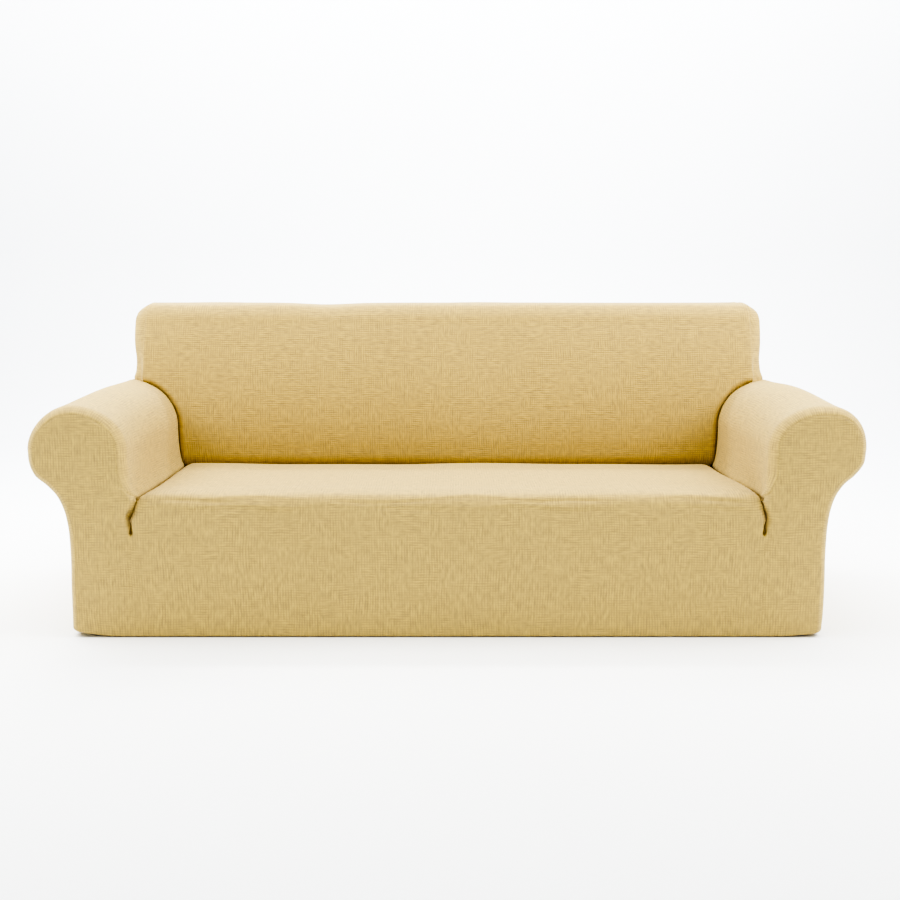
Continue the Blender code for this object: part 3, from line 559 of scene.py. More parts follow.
def seat_grid():
    """The skirt's middle, the front edge and the seat, rows from the hem to the backrest.

    Each row runs straight across at the middle line's depth and height, and bends to its
    edge's by a parabola over the shoulder's width.
    """
    hem = np.column_stack(hem_turn(HEM_ROWS))
    fine_share, fine = rising_part(SEAT_PATH, SEAT_EDGE_ROW)
    front = np.interp(LIFT_HEIGHTS, fine[:, 1], fine_share)
    crease = arm_surface(RIGHT, 0.0, ARM_RUNS[:BACK_RUN + 1])[1:, 1]
    depths = crease - SEAT_FORWARD * shoulder(crease - SEAT_FORWARD, SEAT_FORWARD_REACH)
    fine_share = np.linspace(chords(SEAT_PATH)[SEAT_EDGE_ROW], 1.0, FINE_STEPS)
    back = np.interp(depths, smooth_curve(SEAT_PATH, fine_share)[:, 0], fine_share)
    middle = np.concatenate([hem, smooth_curve(SEAT_PATH, np.concatenate([front, back]))])

    grid = np.zeros((len(middle), len(COLUMNS), 3))
    for edge, half, share in halves(seat_edge):
        across = share * edge[:, 0, None]
        distance = np.abs(edge[:, 0, None]) - np.abs(across)
        widen = ramp((edge[:, 2] - NOTCH_FOOT) / (CREASE_HEIGHT - NOTCH_FOOT)) ** 3
        width = NOTCH_SHOULDER + (SEAT_SHOULDER - NOTCH_SHOULDER) * widen
        fall = shoulder(distance, width[:, None])
        gap = edge[:, 1:] - middle
        grid[:, half, 0] = across
        grid[:, half, 1:] = middle[:, None] + gap[:, None] * fall[..., None]
    return grid


def face_grid(side):
    """An arm's front: hem rows, then a Coons grid inside its arched seam."""
    edge = seat_edge(side)
    hem_count = len(HEM_ROWS)
    lower = edge[hem_count - 1:NOTCH_ROW + 1]
    seam = arm_surface(side, ARM_PLACES, 0.0)
    first, last = len(INNER_PLACES) - 1, len(INNER_PLACES) + len(CROWN_PLACES) - 2
    hem_top = len(ARM_PLACES) - hem_count
    left = np.concatenate([lower, seam[1:first + 1]])
    top = seam[first:last + 1]
    right = seam[last:hem_top + 1][::-1]
    bottom = left[0] + (right[0] - left[0]) * FACE_COLUMNS[:, None]
    pull = notch_pull(left[:, 2])
    left = left - pull[:, None] * (0.0, 1.0, 0.0)
    grid = coons(bottom, top, left, right)
    distance = np.abs(grid[..., 0] - grid[:, :1, 0])
    grid[..., 1] += pull[:, None] * shoulder(distance, NOTCH_SHOULDER)
    u = np.linspace(0.0, 1.0, grid.shape[1])
    v = np.linspace(0.0, 1.0, grid.shape[0])
    grid[..., 1] -= FACE_CROWN * 4.0 * (u * (1.0 - u))[None] * np.sin(np.pi * v)[:, None]

    outer_hem = seam[hem_top:][::-1]
    inner_hem = edge[:hem_count]
    share = FACE_COLUMNS[None, :, None]
    hem = inner_hem[:, None] + (outer_hem - inner_hem)[:, None] * share
    return np.concatenate([hem, grid[1:]])


def back_shares():
    """Share of BACK_PATH at every point of the backrest's grid."""
    middle, edge_share = back_rows()
    shares = np.zeros((len(middle), len(COLUMNS)))
    for edge, half, share in halves(back_edge):
        inside = np.abs(edge[:, 0, None]) * (1.0 - share)
        blend = shoulder(inside, BACK_BLEND)
        shares[:, half] = middle[:, None] + (edge_share - middle)[:, None] * blend
    return shares


def back_grid():
    """The backrest's front and top, rows from the seat's crease to the rear seam."""
    shares = back_shares()
    _, edge_share = back_rows()
    edge_face = smooth_curve(BACK_PATH, edge_share)
    grid = np.zeros((*shares.shape, 3))
    for edge, half, share in halves(back_edge):
        across = share * edge[:, 0, None]
        face = smooth_curve(BACK_PATH, shares[:, half])
        untucked = np.concatenate([across[..., None], face], axis=-1)
        line = np.column_stack([edge[:, 0], edge_face])
        fall = shoulder(clearance(untucked, line), BACK_SHOULDER)
        gap = edge[:, 1:] - edge_face
        grid[:, half, 0] = across
        grid[:, half, 1:] = face + gap[:, None] * fall[..., None]
    return grid


def side_grid(side):
    """A backrest side: a Coons grid in profile, whose flat rounds over to its seams."""
    bottom = arm_surface(side, CORNER_PLACE, ARM_RUNS[BACK_RUN:])
    edge = back_edge(side)[CORNER_ROW:]
    left, top = edge[:BACK_RISE_STEPS + 1], edge[BACK_RISE_STEPS:-LAST_STEPS]
    share = np.linspace(0.0, 1.0, REAR_RISE)[:, None]
    rear = bottom[-1] + (edge[-1] - bottom[-1]) * share
    rear[1:-1, 0] = side * back_seam_across(rear[1:-1, 2])
    right = np.concatenate([rear, edge[-1 - LAST_STEPS:-1][::-1]])
    grid = coons(bottom, top, left, right)
    flat = back_side_across(grid[..., 2])
    seams = np.concatenate([left, top[1:], right[:-1][::-1]])
    distance = clearance(grid[..., 1:], seams[:, 1:])
    inset = flat - back_seam_across(grid[..., 2])
    inside = flat - inset * shoulder(distance, SIDE_SHOULDER)
    rows = np.linspace(0.0, 1.0, grid.shape[0])[:, None]
    stand = (np.abs(bottom[:, 0]) - inside[0])[None, :] * (1.0 - rows) ** 2
    border = np.zeros(inside.shape, bool)
    border[:, 0] = border[:, -1] = border[0] = border[-1] = True
    grid[..., 0] = np.where(border, grid[..., 0], side * (inside + stand))
    return grid


def rear_edge(side):
    """The rear panel's side line: up the arm's rear seam, then the backrest side's."""
    arm = arm_surface(side, ARM_PLACES[CORNER_ROW:], ARM_RUNS[-1])[::-1]
    return np.concatenate([arm, side_grid(side)[1:REAR_RISE, -1]])


def rear_grid():
    """The rear panel: rows from the hem to the top seam, between both sides' rear seams."""
    left, right = rear_edge(LEFT), rear_edge(RIGHT)
    hem_count = len(HEM_ROWS)
    even = np.linspace(left[hem_count - 1, 2], left[-1, 2], len(left) - hem_count + 1)
    middle = (left[:, 2] + right[:, 2]) / 2.0
    middle[hem_count - 1:] = (middle[hem_count - 1:] + even) / 2.0
    bow = np.sin(np.pi * np.linspace(0.0, 1.0, len(left)))
    grid = np.zeros((len(left), len(COLUMNS), 3))
    for edge, half, share in halves(rear_edge):
        distance = np.abs(edge[:, 0, None]) * (1.0 - share)
        blend = shoulder(distance, REAR_BLEND)
        swell = FACE_CROWN * (1.0 - shoulder(distance, REAR_CROWN_REACH)) * bow[:, None]
        grid[:, half, 0] = share * edge[:, 0, None]
        grid[:, half, 1] = edge[:, 1, None] + swell
        grid[:, half, 2] = middle[:, None] + (edge[:, 2] - middle)[:, None] * blend
    grid[-1] = back_grid()[-1]
    return grid


# ------------------------------------------------------------------------------- the whole cover
class Patch:
    """One grid of the cover: its points, the cloth's own coordinates, and which cells count."""

    def __init__(self, panel, grid, cloth, flip, keep=None):
        self.panel = panel
        self.grid = grid
        self.cloth = np.stack(np.broadcast_arrays(*cloth), axis=-1)
        self.flip = flip
        self.keep = keep

    def cells(self, index):
        """Corners of the cells as rows of four numbers out of an index grid."""
        corners = np.stack([index[:-1, :-1], index[:-1, 1:], index[1:, 1:], index[1:, :-1]],
                           axis=-1)
        corners = corners.reshape(-1, 4) if self.keep is None else corners[self.keep]
        return corners[:, ::-1] if self.flip else corners


def lengths_down(grid, at):
    """Length from the first row along one column of a grid."""
    steps = np.linalg.norm(np.diff(grid[:, at], axis=0), axis=1)
    return np.concatenate([[0.0], np.cumsum(steps)])


def patches():
    """All grids of the cover, with the cloth's courses and wales in metres on each.

    On the seat and the backrest the cloth runs with the width and along the path; on the
    arm fronts and the rear it hangs with the width and the height; an arm's cloth runs
    with the depth and round the section; a side's with the depth and the height.
    """
    seat = seat_grid()
    seat_run = lengths_down(seat, len(COLUMNS) // 2)
    hem_run = seat_run[len(HEM_ROWS) - 1]
    back, shares = back_grid(), back_shares()
    back_length = np.linalg.norm(np.diff(BACK_PATH, axis=0), axis=1).sum()
    rear = rear_grid()
    kept = np.ones((len(ARM_PLACES) - 1, len(ARM_RUNS) - 1), bool)
    kept[:CORNER_ROW, BACK_RUN:] = False
    found = [
        Patch("front_panel", seat, (seat[..., 0], seat_run[:, None]), False),
        Patch("inside_back", back, (back[..., 0], shares * back_length), False),
        Patch("outside_back", rear, (rear[..., 0], rear[..., 2]), True),
    ]
    for side, word in ((LEFT, "left"), (RIGHT, "right")):
        face, arm, flank = face_grid(side), arm_grid(side), side_grid(side)
        round_arm = lengths_down(arm, len(EDGE_STEPS))
        found += [
            Patch("front_panel", face, (face[..., 0], face[..., 2] + hem_run), side == LEFT),
            Patch("arm_panel_" + word, arm, (arm[..., 1], round_arm[:, None]), side == RIGHT,
                  kept),
            Patch("back_side_" + word, flank, (flank[..., 1], flank[..., 2]), side == LEFT),
        ]
    return found


def face_normals(points, cells):
    """Unit normal of each four-cornered face, square to both its diagonals."""
    a, b, c, d = (points[cells[:, k]] for k in range(4))
    normals = np.cross(c - a, d - b)
    return normals / np.maximum(np.linalg.norm(normals, axis=1, keepdims=True), 1e-12)


def point_normals(points, cells):
    """Unit normal at each point: the mean of its faces' normals, each by its corner's angle."""
    normals = face_normals(points, cells)
    outward = np.zeros_like(points)
    for k in range(4):
        here = points[cells[:, k]]
        ahead = points[cells[:, (k + 1) % 4]] - here
        behind = points[cells[:, k - 1]] - here
        turn = np.linalg.norm(np.cross(ahead, behind), axis=1)
        angle = np.arctan2(turn, np.einsum("ij,ij->i", ahead, behind))
        for axis in range(3):
            outward[:, axis] += np.bincount(cells[:, k], normals[:, axis] * angle, len(points))
    return outward / np.maximum(np.linalg.norm(outward, axis=1, keepdims=True), 1e-12)


def uneven(points):
    """Slow unevenness of the fitted cloth along its own outward direction, in metres."""
    x, y, z = points.T
    wave = np.zeros(len(points))
    for share, across, depth, height, start in UNEVEN_WAVES:
        wave += share * np.sin(across * x + start) * np.sin(depth * y + height * z + start)
    return UNEVEN * wave * ramp(z / UNEVEN_FROM)


def settle(points, outward):
    """Adds the sag of the top edge, the lifted front corners and the slow unevenness."""
    moved = points + outward * uneven(points)[:, None]
    x, depth, z = points.T
    sag = BACK_DIP * bump(x - BACK_DIP_ACROSS, BACK_DIP_WIDTH)
    moved[:, 2] -= sag * ramp((z - BACK_DIP_FROM) / BACK_DIP_RISE)
    corner = np.hypot(np.maximum(ARM_SIDE[-1, 1] - np.abs(x), 0.0), depth)
    reach = ramp(corner / HEM_LIFT_REACH)
    lift = np.where(x < 0.0, HEM_LIFT[LEFT], HEM_LIFT[RIGHT])
    moved[:, 2] += lift * (1.0 - reach) * (1.0 - ramp(z / HEM_LIFT_REACH))
    return moved


# -------------------------------------------------------------------------- stitching and folds
SEAM_KINDS = {
    # depth of the groove, its width, height of the welts beside it, their distance, pucker
    "stitched": (0.0011, 0.0024, 0.0005, 0.0080, 0.30),
    "flat": (0.0013, 0.0024, 0.0004, 0.0070, 0.25),
    "tucked": (0.0046, 0.0034, 0.0010, 0.0140, 0.30),
    "sunk": (0.0090, 0.0048, 0.0010, 0.0150, 0.30),
    "slit": (0.0105, 0.0048, 0.0018, 0.0120, 0.25),
}
PUCKER_WAVES = np.array([
    # share, radians per metre of seam, start
    (1.0, 2.0 * np.pi / 0.037, 0.4),
    (0.8, 2.0 * np.pi / 0.061, 2.1),
    (0.6, 2.0 * np.pi / 0.143, 4.0),
])
SEAM_REACH = 0.040        # no seam shows further away than this
FRONT_SEAM_LEAST = 0.35   # share of an arm's front seam left on the outer side
FRONT_SEAM_BEST = 1.6     # place on the arm's section where that seam shows most
FRONT_SEAM_SPREAD = 1.3
FRONT_SEAM_FROM = 0.45    # place below which the notch's slit takes its part
FRONT_SEAM_GROWS = 0.6
BACK_CREASE = 0.5         # strength of the crease between seat and backrest
CREASE_DEEPER = 0.8       # what the arm's crease gains at its front end
CREASE_DEEPER_REACH = 0.05
SLIT_LEAST = 0.35         # share of the slit's depth at its foot
SLIT_OPENS = 0.012        # height over which it reaches its full depth
LINE_CHUNK = 12           # pieces of a seam that are measured together

# listed folds: soft troughs (negative) and ridges along short straight lines
FOLDS = np.array([
    # from across, depth, height, to across, depth, height, rise, width
    (-0.818, 0.000, 0.342, -0.821, 0.000, 0.300, 0.0040, 0.009),
    (-0.798, 0.010, 0.338, -0.801, 0.010, 0.310, -0.0070, 0.008),
    (-0.774, 0.008, 0.345, -0.783, 0.008, 0.285, 0.0020, 0.005),
    (0.812, 0.008, 0.345, 0.815, 0.008, 0.285, 0.0020, 0.006),
    (0.779, 0.008, 0.345, 0.786, 0.008, 0.300, 0.0015, 0.006),
    (-0.800, 0.000, 0.248, -0.835, 0.000, 0.196, -0.0016, 0.012),
    (-0.786, 0.000, 0.245, -0.772, 0.000, 0.190, -0.0013, 0.011),
    (-0.812, 0.000, 0.262, -0.858, 0.000, 0.246, 0.0014, 0.013),
    (0.800, 0.000, 0.248, 0.830, 0.000, 0.200, -0.0014, 0.012),
    (0.786, 0.000, 0.245, 0.768, 0.000, 0.196, -0.0013, 0.011),
    (0.812, 0.000, 0.264, 0.855, 0.000, 0.250, 0.0012, 0.013),
])

# small rolls that run along the seat's soft front edge and come and go
EDGE_ROLLS = np.array([
    # height, rise, width, waver, radians per metre (waver, presence), start
    (0.3585, 0.0018, 0.0045, 0.0030, 23.0, 11.0, 0.3),
    (0.3480, -0.0028, 0.0042, 0.0034, 19.0, 14.0, 1.9),
    (0.3385, 0.0020, 0.0050, 0.0040, 27.0, 9.0, 3.1),
    (0.3290, -0.0018, 0.0050, 0.0040, 17.0, 16.0, 4.6),
])
ROLL_ENDS = 0.770         # half width of the seat's front edge that has them
ROLL_FADE = 0.05          # width over which they fade at its ends
ROLL_DEPTH = 0.10         # they lie no further back than this
ROLL_PRESENT = 0.45       # lifts the sine that makes them come and go


def nearest_on(points, line):
    """Distance of each point to a line of points, and the length along it, near the line."""
    steps = np.diff(line, axis=0)
    lengths = np.linalg.norm(steps, axis=1)
    starts = np.concatenate([[0.0], np.cumsum(lengths)])
    distance = np.full(len(points), np.inf)
    along = np.zeros(len(points))
    for first in range(0, len(steps), LINE_CHUNK):
        part = slice(first, first + LINE_CHUNK)
        corners = line[first:first + LINE_CHUNK + 1]
        inside = (points > corners.min(axis=0) - SEAM_REACH) & \
                 (points < corners.max(axis=0) + SEAM_REACH)
        near = np.flatnonzero(inside.all(axis=1))
        offset = points[near, None] - line[:-1][part]
        share = np.einsum("ijk,jk->ij", offset, steps[part]) / lengths[part] ** 2
        share = np.clip(share, 0.0, 1.0)
        gap = np.linalg.norm(offset - share[..., None] * steps[part], axis=-1)
        best = gap.argmin(axis=1)
        row = np.arange(len(near))
        closer = gap[row, best] < distance[near]
        chosen, best, row = near[closer], best[closer], row[closer]
        distance[chosen] = gap[row, best]
        along[chosen] = starts[:-1][part][best] + share[row, best] * lengths[part][best]
    return distance, along


def seam_lines():
    """Each seam's kind, its row of points and its strength at them."""
    lines = [("sunk", back_grid()[0], BACK_CREASE), ("flat", back_grid()[-1], 1.0)]
    fade = FRONT_SEAM_LEAST + (1.0 - FRONT_SEAM_LEAST) * bump(
        ARM_PLACES - FRONT_SEAM_BEST, FRONT_SEAM_SPREAD)
    front = fade * ramp((ARM_PLACES - FRONT_SEAM_FROM) / FRONT_SEAM_GROWS)
    for side in (LEFT, RIGHT):
        arm, flank = arm_grid(side), side_grid(side)
        crease = arm[0, :BACK_RUN + 1]
        slit = seat_edge(side)[SLIT_FOOT:NOTCH_ROW + 1]
        lines += [
            ("stitched", arm[:, 0], front),
            ("sunk", crease, 1.0 + CREASE_DEEPER * bump(crease[:, 1], CREASE_DEEPER_REACH)),
            ("tucked", arm[:CORNER_ROW + 1, BACK_RUN], 1.0),
            ("tucked", arm[CORNER_ROW, BACK_RUN:], 1.0),
            ("slit", slit, ramp(SLIT_LEAST + (slit[:, 2] - slit[0, 2]) / SLIT_OPENS)),
            ("flat", back_edge(side)[CORNER_ROW:], 1.0),
            ("flat", flank[:REAR_RISE, -1], 1.0),
            ("flat", arm[CORNER_ROW:, -1], 1.0),
        ]
    return lines


def relief(points, strength):
    """How far stitching and folds move the cloth outwards at each point, in metres.

    A seam is a Gaussian groove with a low Gaussian welt on both sides; a sum of three sines
    along it makes it deeper and shallower.  A fold is a Gaussian ridge or trough.  A roll
    along the front edge is one whose height wavers as a sine and whose rise is a sine's
    upper half.
    """
    moved = np.zeros(len(points))
    for kind, line, share in seam_lines():
        depth, width, welt, welt_at, pucker = SEAM_KINDS[kind]
        distance, along = nearest_on(points, line)
        parts, pace, start = PUCKER_WAVES.T
        wave = (parts * np.sin(along[:, None] * pace + start)).sum(axis=1) / parts.sum()
        lengths = chords(line) * np.linalg.norm(np.diff(line, axis=0), axis=1).sum()
        share = np.interp(along, lengths, share * np.ones(len(line)))
        groove = depth * bump(distance, width) - welt * bump(distance - welt_at, welt_at / 2.0)
        moved -= strength * share * groove * (1.0 + pucker * 2.0 * wave)
    for fold in FOLDS:
        distance, _ = nearest_on(points, fold[:6].reshape(2, 3))
        moved += fold[6] * bump(distance, fold[7])
    x, depth, z = points.T
    ends = ramp((ROLL_ENDS - np.abs(x)) / ROLL_FADE) * (depth < ROLL_DEPTH)
    for height, rise, width, waver, pace, presence, start in EDGE_ROLLS:
        centre = height + waver * np.sin(pace * x + start)
        present = np.clip(np.sin(presence * x + start * 2.0) + ROLL_PRESENT, 0.0, 1.0)
        moved += rise * present * ends * bump(z - centre, width)
    return moved


def weld(points, cells):
    """Merges points that lie within a hundredth of a millimetre, and drops unused ones."""
    _, first, again = np.unique(np.round(points / WELD).astype(np.int64), axis=0,
                                return_index=True, return_inverse=True)
    cells = again.reshape(-1)[cells]
    used, cells = np.unique(cells, return_inverse=True)
    return points[first][used], cells.reshape(-1, 4)


@functools.cache
def cover(strength):
    """The whole outer face: points, outward directions, cells, cloth coordinates, owners."""
    points, cells, cloth, owners, offset = [], [], [], [], 0
    for patch in patches():
        index = np.arange(patch.grid[..., 0].size).reshape(patch.grid.shape[:2])
        corners = patch.cells(index)
        points.append(patch.grid.reshape(-1, 3))
        cells.append(corners + offset)
        cloth.append(patch.cloth.reshape(-1, 2)[corners])
        owners += [patch.panel] * len(corners)
        offset += index.size
    points, cells = weld(np.concatenate(points), np.concatenate(cells))
    plain = point_normals(points, cells)
    pressed = settle(points, plain) + plain * relief(points, strength)[:, None]
    pressed[:, 1] -= DEPTH / 2.0
    outward = point_normals(pressed, cells)
    return pressed, outward, cells, np.concatenate(cloth), np.array(owners)


def rim_steps(points, outward, rim):
    """Step back from the seam at each point of a panel's rim, square to rim and cloth."""
    back = np.zeros_like(points)
    meets = np.zeros_like(points)
    along = points[rim[:, 1]] - points[rim[:, 0]]
    for end in (0, 1):
        into = np.cross(outward[rim[:, end]], along)
        into /= np.linalg.norm(into, axis=1, keepdims=True)
        back[rim[:, end]] += into
        meets[rim[:, end]] = into if end == 0 else meets[rim[:, end]] * into
    on_rim = np.unique(rim)
    overlap = meets[on_rim].sum(axis=1, keepdims=True)
    step = np.zeros_like(points)
    step[on_rim] = back[on_rim] / (1.0 + overlap) * (SEAM_GAP / 2.0)
    return step


def sheet_mesh(name, thickness, strength):
    """A panel's thin closed sheet: outer face, inner face at the thickness, and its rim."""
    points, outward, cells, cloth, owners = cover(strength)
    own = owners == name
    used, cells = np.unique(cells[own], return_inverse=True)
    cells, cloth = cells.reshape(-1, 4), cloth[own]
    points, outward = points[used], outward[used]
    count = len(points)

    ring = np.concatenate([cells[:, [k, (k + 1) % 4]] for k in range(4)])
    ring_cloth = np.concatenate([cloth[:, [k, (k + 1) % 4]] for k in range(4)])
    keys = np.sort(ring, axis=1) @ (count, 1)
    _, where, seen = np.unique(keys, return_inverse=True, return_counts=True)
    open_edge = seen[where.reshape(-1)] == 1
    rim, rim_cloth = ring[open_edge], ring_cloth[open_edge]

    normals = face_normals(points, cells)
    facing = np.zeros(count)
    corners = np.zeros(count)
    for k in range(4):
        turned = np.einsum("ij,ij->i", normals, outward[cells[:, k]])
        facing += np.bincount(cells[:, k], turned, count)
        corners += np.bincount(cells[:, k], minlength=count)
    reach = thickness / np.maximum(facing / corners, MITRE_LEAST)
    step = rim_steps(points, outward, rim)
    both = np.concatenate([points + step, points - outward * reach[:, None] + step])
    edge = np.column_stack([rim[:, ::-1], rim + count])
    faces = np.concatenate([cells, cells[:, ::-1] + count, edge])
    edge_cloth = np.concatenate([rim_cloth[:, ::-1], rim_cloth], axis=1)
    cloth = np.concatenate([cloth, cloth[:, ::-1], edge_cloth])

    mesh = bpy.data.meshes.new(name)
    mesh.vertices.add(len(both))
    mesh.vertices.foreach_set("co", both.ravel())
    mesh.loops.add(faces.size)
    mesh.loops.foreach_set("vertex_index", faces.ravel().astype(np.int32))
    mesh.polygons.add(len(faces))
    mesh.polygons.foreach_set("loop_start", np.arange(0, faces.size, 4, dtype=np.int32))
    mesh.update(calc_edges=True)
    mesh.uv_layers.new(name=CLOTH_MAP).uv.foreach_set("vector", cloth.ravel())
    mesh.shade_smooth()

    pairs = np.zeros(len(mesh.edges) * 2, np.int32)
    mesh.edges.foreach_get("vertices", pairs)
    pairs = np.sort(pairs.reshape(-1, 2), axis=1) @ (2 * count, 1)
    folded = np.concatenate([np.sort(rim, axis=1), np.sort(rim, axis=1) + count])
    sharp = np.isin(pairs, folded @ (2 * count, 1))
    mesh.attributes.new("sharp_edge", "BOOLEAN", "EDGE").data.foreach_set("value", sharp)
    return mesh


# ------------------------------------------------------------------------------------- materials
CLOTH_MAP = "cloth"       # each panel's own coordinates: courses and wales in metres


def linear(code):
    """Linear colour from a hex code of an sRGB colour."""
    parts = [int(code[k:k + 2], 16) / 255.0 for k in (1, 3, 5)]
    return tuple(p / 12.92 if p <= 0.04045 else ((p + 0.055) / 1.055) ** 2.4 for p in parts)


def hex_colour(name, code):
    """A colour property whose default is a hex code."""
    return bpy.props.FloatVectorProperty(name=name, description=name, subtype="COLOR", size=3,
                                         min=0.0, max=1.0, default=linear(code))


def add(tree, kind, inputs=(), **settings):
    """Adds a shader node; inputs are values or sockets by name or number.  Returns output 0."""
    made = tree.nodes.new(kind)
    for key, value in settings.items():
        setattr(made, key, value)
    for key, value in dict(inputs).items():
        if isinstance(value, bpy.types.NodeSocket):
            tree.links.new(value, made.inputs[key])
        else:
            made.inputs[key].default_value = value
    return made.outputs[0]


def sums(tree, operation, *values):
    """A maths node on values or sockets."""
    return add(tree, "ShaderNodeMath", enumerate(values), operation=operation)


def noise(tree, where, scale, detail=2.0, roughness=0.5):
    """Noise from 0 to 1 at a scale per metre."""
    return add(tree, "ShaderNodeTexNoise", {"Vector": where, "Scale": scale, "Detail": detail,
                                            "Roughness": roughness})


def shades(tree, factor, first, second):
    """Mixes two colours, given as linear triples or sockets, by a factor."""
    mix = tree.nodes.new("ShaderNodeMix")
    mix.data_type = "RGBA"
    tree.links.new(factor, mix.inputs[0])
    for slot, value in ((6, first), (7, second)):
        if isinstance(value, bpy.types.NodeSocket):
            tree.links.new(value, mix.inputs[slot])
        else:
            mix.inputs[slot].default_value = (*value, 1.0)
    return mix.outputs[2]


def puff(tree, along, pitch, power):
    """Rounded ribs across a coordinate: the sine of its half turns to a power, 0 in grooves."""
    wave = sums(tree, "SINE", sums(tree, "MULTIPLY", along, math.pi / pitch))
    return sums(tree, "POWER", sums(tree, "ABSOLUTE", wave), power)


def knit_material(cover_set):
    """Jacquard stretch knit of polyester and elastane.

    Small puffed checks stand between sunken courses and wales, whose colour is darker, partly as
    painted shade, so the eye reads a fine even grid; the loops' fuzz gives a pale bloom where the
    cloth is seen at a slant.
    """
    material = bpy.data.materials.new("jacquard_stretch_knit")
    material.use_nodes = True
    tree = material.node_tree
    shader = tree.nodes["Principled BSDF"]

    # the cloth was pulled on by hand, so its courses and wales run a little unevenly
    place = add(tree, "ShaderNodeTexCoord").node.outputs["Object"]
    lie = add(tree, "ShaderNodeUVMap", uv_map=CLOTH_MAP)
    drift = sums(tree, "MULTIPLY_ADD", noise(tree, place, 7.0), 0.016, -0.008)
    split = add(tree, "ShaderNodeSeparateXYZ", {0: lie}).node
    wale = sums(tree, "ADD", split.outputs["X"], drift)
    course = sums(tree, "ADD", split.outputs["Y"], drift)

    across = puff(tree, wale, cover_set.wale_pitch, 0.7)
    up = puff(tree, course, cover_set.course_pitch, 0.7)
    # every few centimetres the knit is stretched another way, and only one set of ribs
    # stands out; the skirt is pulled down, so most of its ribs are upright
    height = add(tree, "ShaderNodeSeparateXYZ", {0: place}).node.outputs["Z"]
    way = sums(tree, "MULTIPLY_ADD", height, 0.2, -0.09)
    way = sums(tree, "ADD", noise(tree, place, 24.0, 3.0), way)
    way = add(tree, "ShaderNodeMapRange", {0: way, 1: 0.41, 2: 0.59})
    ribs = add(tree, "ShaderNodeMix", {0: way, 2: across, 3: up})
    ribs = add(tree, "ShaderNodeMix", {0: 0.45, 2: ribs, 3: sums(tree, "MULTIPLY", across, up)})
    # where it is stretched both ways they nearly vanish
    slack = add(tree, "ShaderNodeMapRange", {0: noise(tree, place, 16.0, 2.0), 1: 0.36,
                                             2: 0.60, 3: 0.32, 4: 0.9})
    ribs = sums(tree, "MULTIPLY", sums(tree, "SUBTRACT", ribs, 0.62), slack)
    # slubs: each course and wale has stretches where its yarn is thicker
    long_courses = add(tree, "ShaderNodeVectorMath", {0: lie, 1: (42.0, 120.0, 1.0)},
                       operation="MULTIPLY")
    long_wales = add(tree, "ShaderNodeVectorMath", {0: lie, 1: (120.0, 42.0, 1.0)},
                     operation="MULTIPLY")
    slub = add(tree, "ShaderNodeMix", {0: way, 2: noise(tree, long_wales, 1.0, 2.0),
                                       3: noise(tree, long_courses, 1.0, 2.0)})
    slub = sums(tree, "MULTIPLY_ADD", slub, cover_set.slubs, 0.58 - cover_set.slubs / 2.0)
    check = sums(tree, "ADD", slub, ribs)
    # single knitted loops, about 1.2 mm; they only show close up
    loops = sums(tree, "MULTIPLY", puff(tree, wale, 0.0012, 1.0), puff(tree, course, 0.0016, 1.0))
    fuzz = noise(tree, place, 900.0, 3.0)

    relief_height = sums(tree, "MULTIPLY_ADD", loops, 0.12, check)
    relief_height = sums(tree, "MULTIPLY_ADD", fuzz, 0.15, relief_height)
    bump_node = add(tree, "ShaderNodeBump", {"Height": relief_height,
                                             "Distance": cover_set.relief, "Strength": 1.0})

    # uneven dyeing over hand widths, then the sunken grooves darker than the crowns (partly the
    # knit's own two-tone, partly painted shade in the grooves), then the yarn's own speckle
    cloud = noise(tree, place, 4.5, 4.0, 0.6)
    crown = shades(tree, cloud, cover_set.crown, cover_set.crown_deep)
    tone = shades(tree, check, cover_set.groove, crown)
    speckle = sums(tree, "MULTIPLY_ADD", fuzz, 0.16, 0.92)
    tone = add(tree, "ShaderNodeVectorMath", {0: tone, 3: speckle}, operation="SCALE")
    tree.links.new(tone, shader.inputs["Base Color"])
    tree.links.new(bump_node, shader.inputs["Normal"])
    roughness = sums(tree, "MULTIPLY_ADD", check, -0.08, 0.92)
    tree.links.new(roughness, shader.inputs["Roughness"])
    shader.inputs["Specular IOR Level"].default_value = 0.2
    shader.inputs["Sheen Weight"].default_value = 0.22
    shader.inputs["Sheen Roughness"].default_value = 0.45
    shader.inputs["Sheen Tint"].default_value = (*linear("#FFF6E0"), 1.0)
    return material


def stage_material(colour):
    """Matte painted studio sweep: a pale even ground that takes only soft shadows."""
    material = bpy.data.materials.new("studio_paint")
    material.use_nodes = True
    tree = material.node_tree
    shader = tree.nodes["Principled BSDF"]
    place = add(tree, "ShaderNodeTexCoord").node.outputs["Object"]
    faint = tuple(part * 0.985 for part in colour)
    tone = shades(tree, noise(tree, place, 1.5), colour, faint)
    tree.links.new(tone, shader.inputs["Base Color"])
    grain = noise(tree, place, 220.0, 2.0)
    tree.links.new(add(tree, "ShaderNodeBump", {"Height": grain, "Distance": 0.0002}),
                   shader.inputs["Normal"])
    shader.inputs["Roughness"].default_value = 0.9
    return material


# ---------------------------------------------------------------------------------- sizes, colours
def metres(name, description, default, low=0.0, high=10.0):
    """A length property in metres."""
    return bpy.props.FloatProperty(name=name, description=description, default=default,
                                   min=low, max=high, precision=5, unit="LENGTH",
                                   subtype="DISTANCE")


def watts(name, description, default):
    """A light's power in watts."""
    return bpy.props.FloatProperty(name=name, description=description, default=default,
                                   min=0.0, unit="POWER")


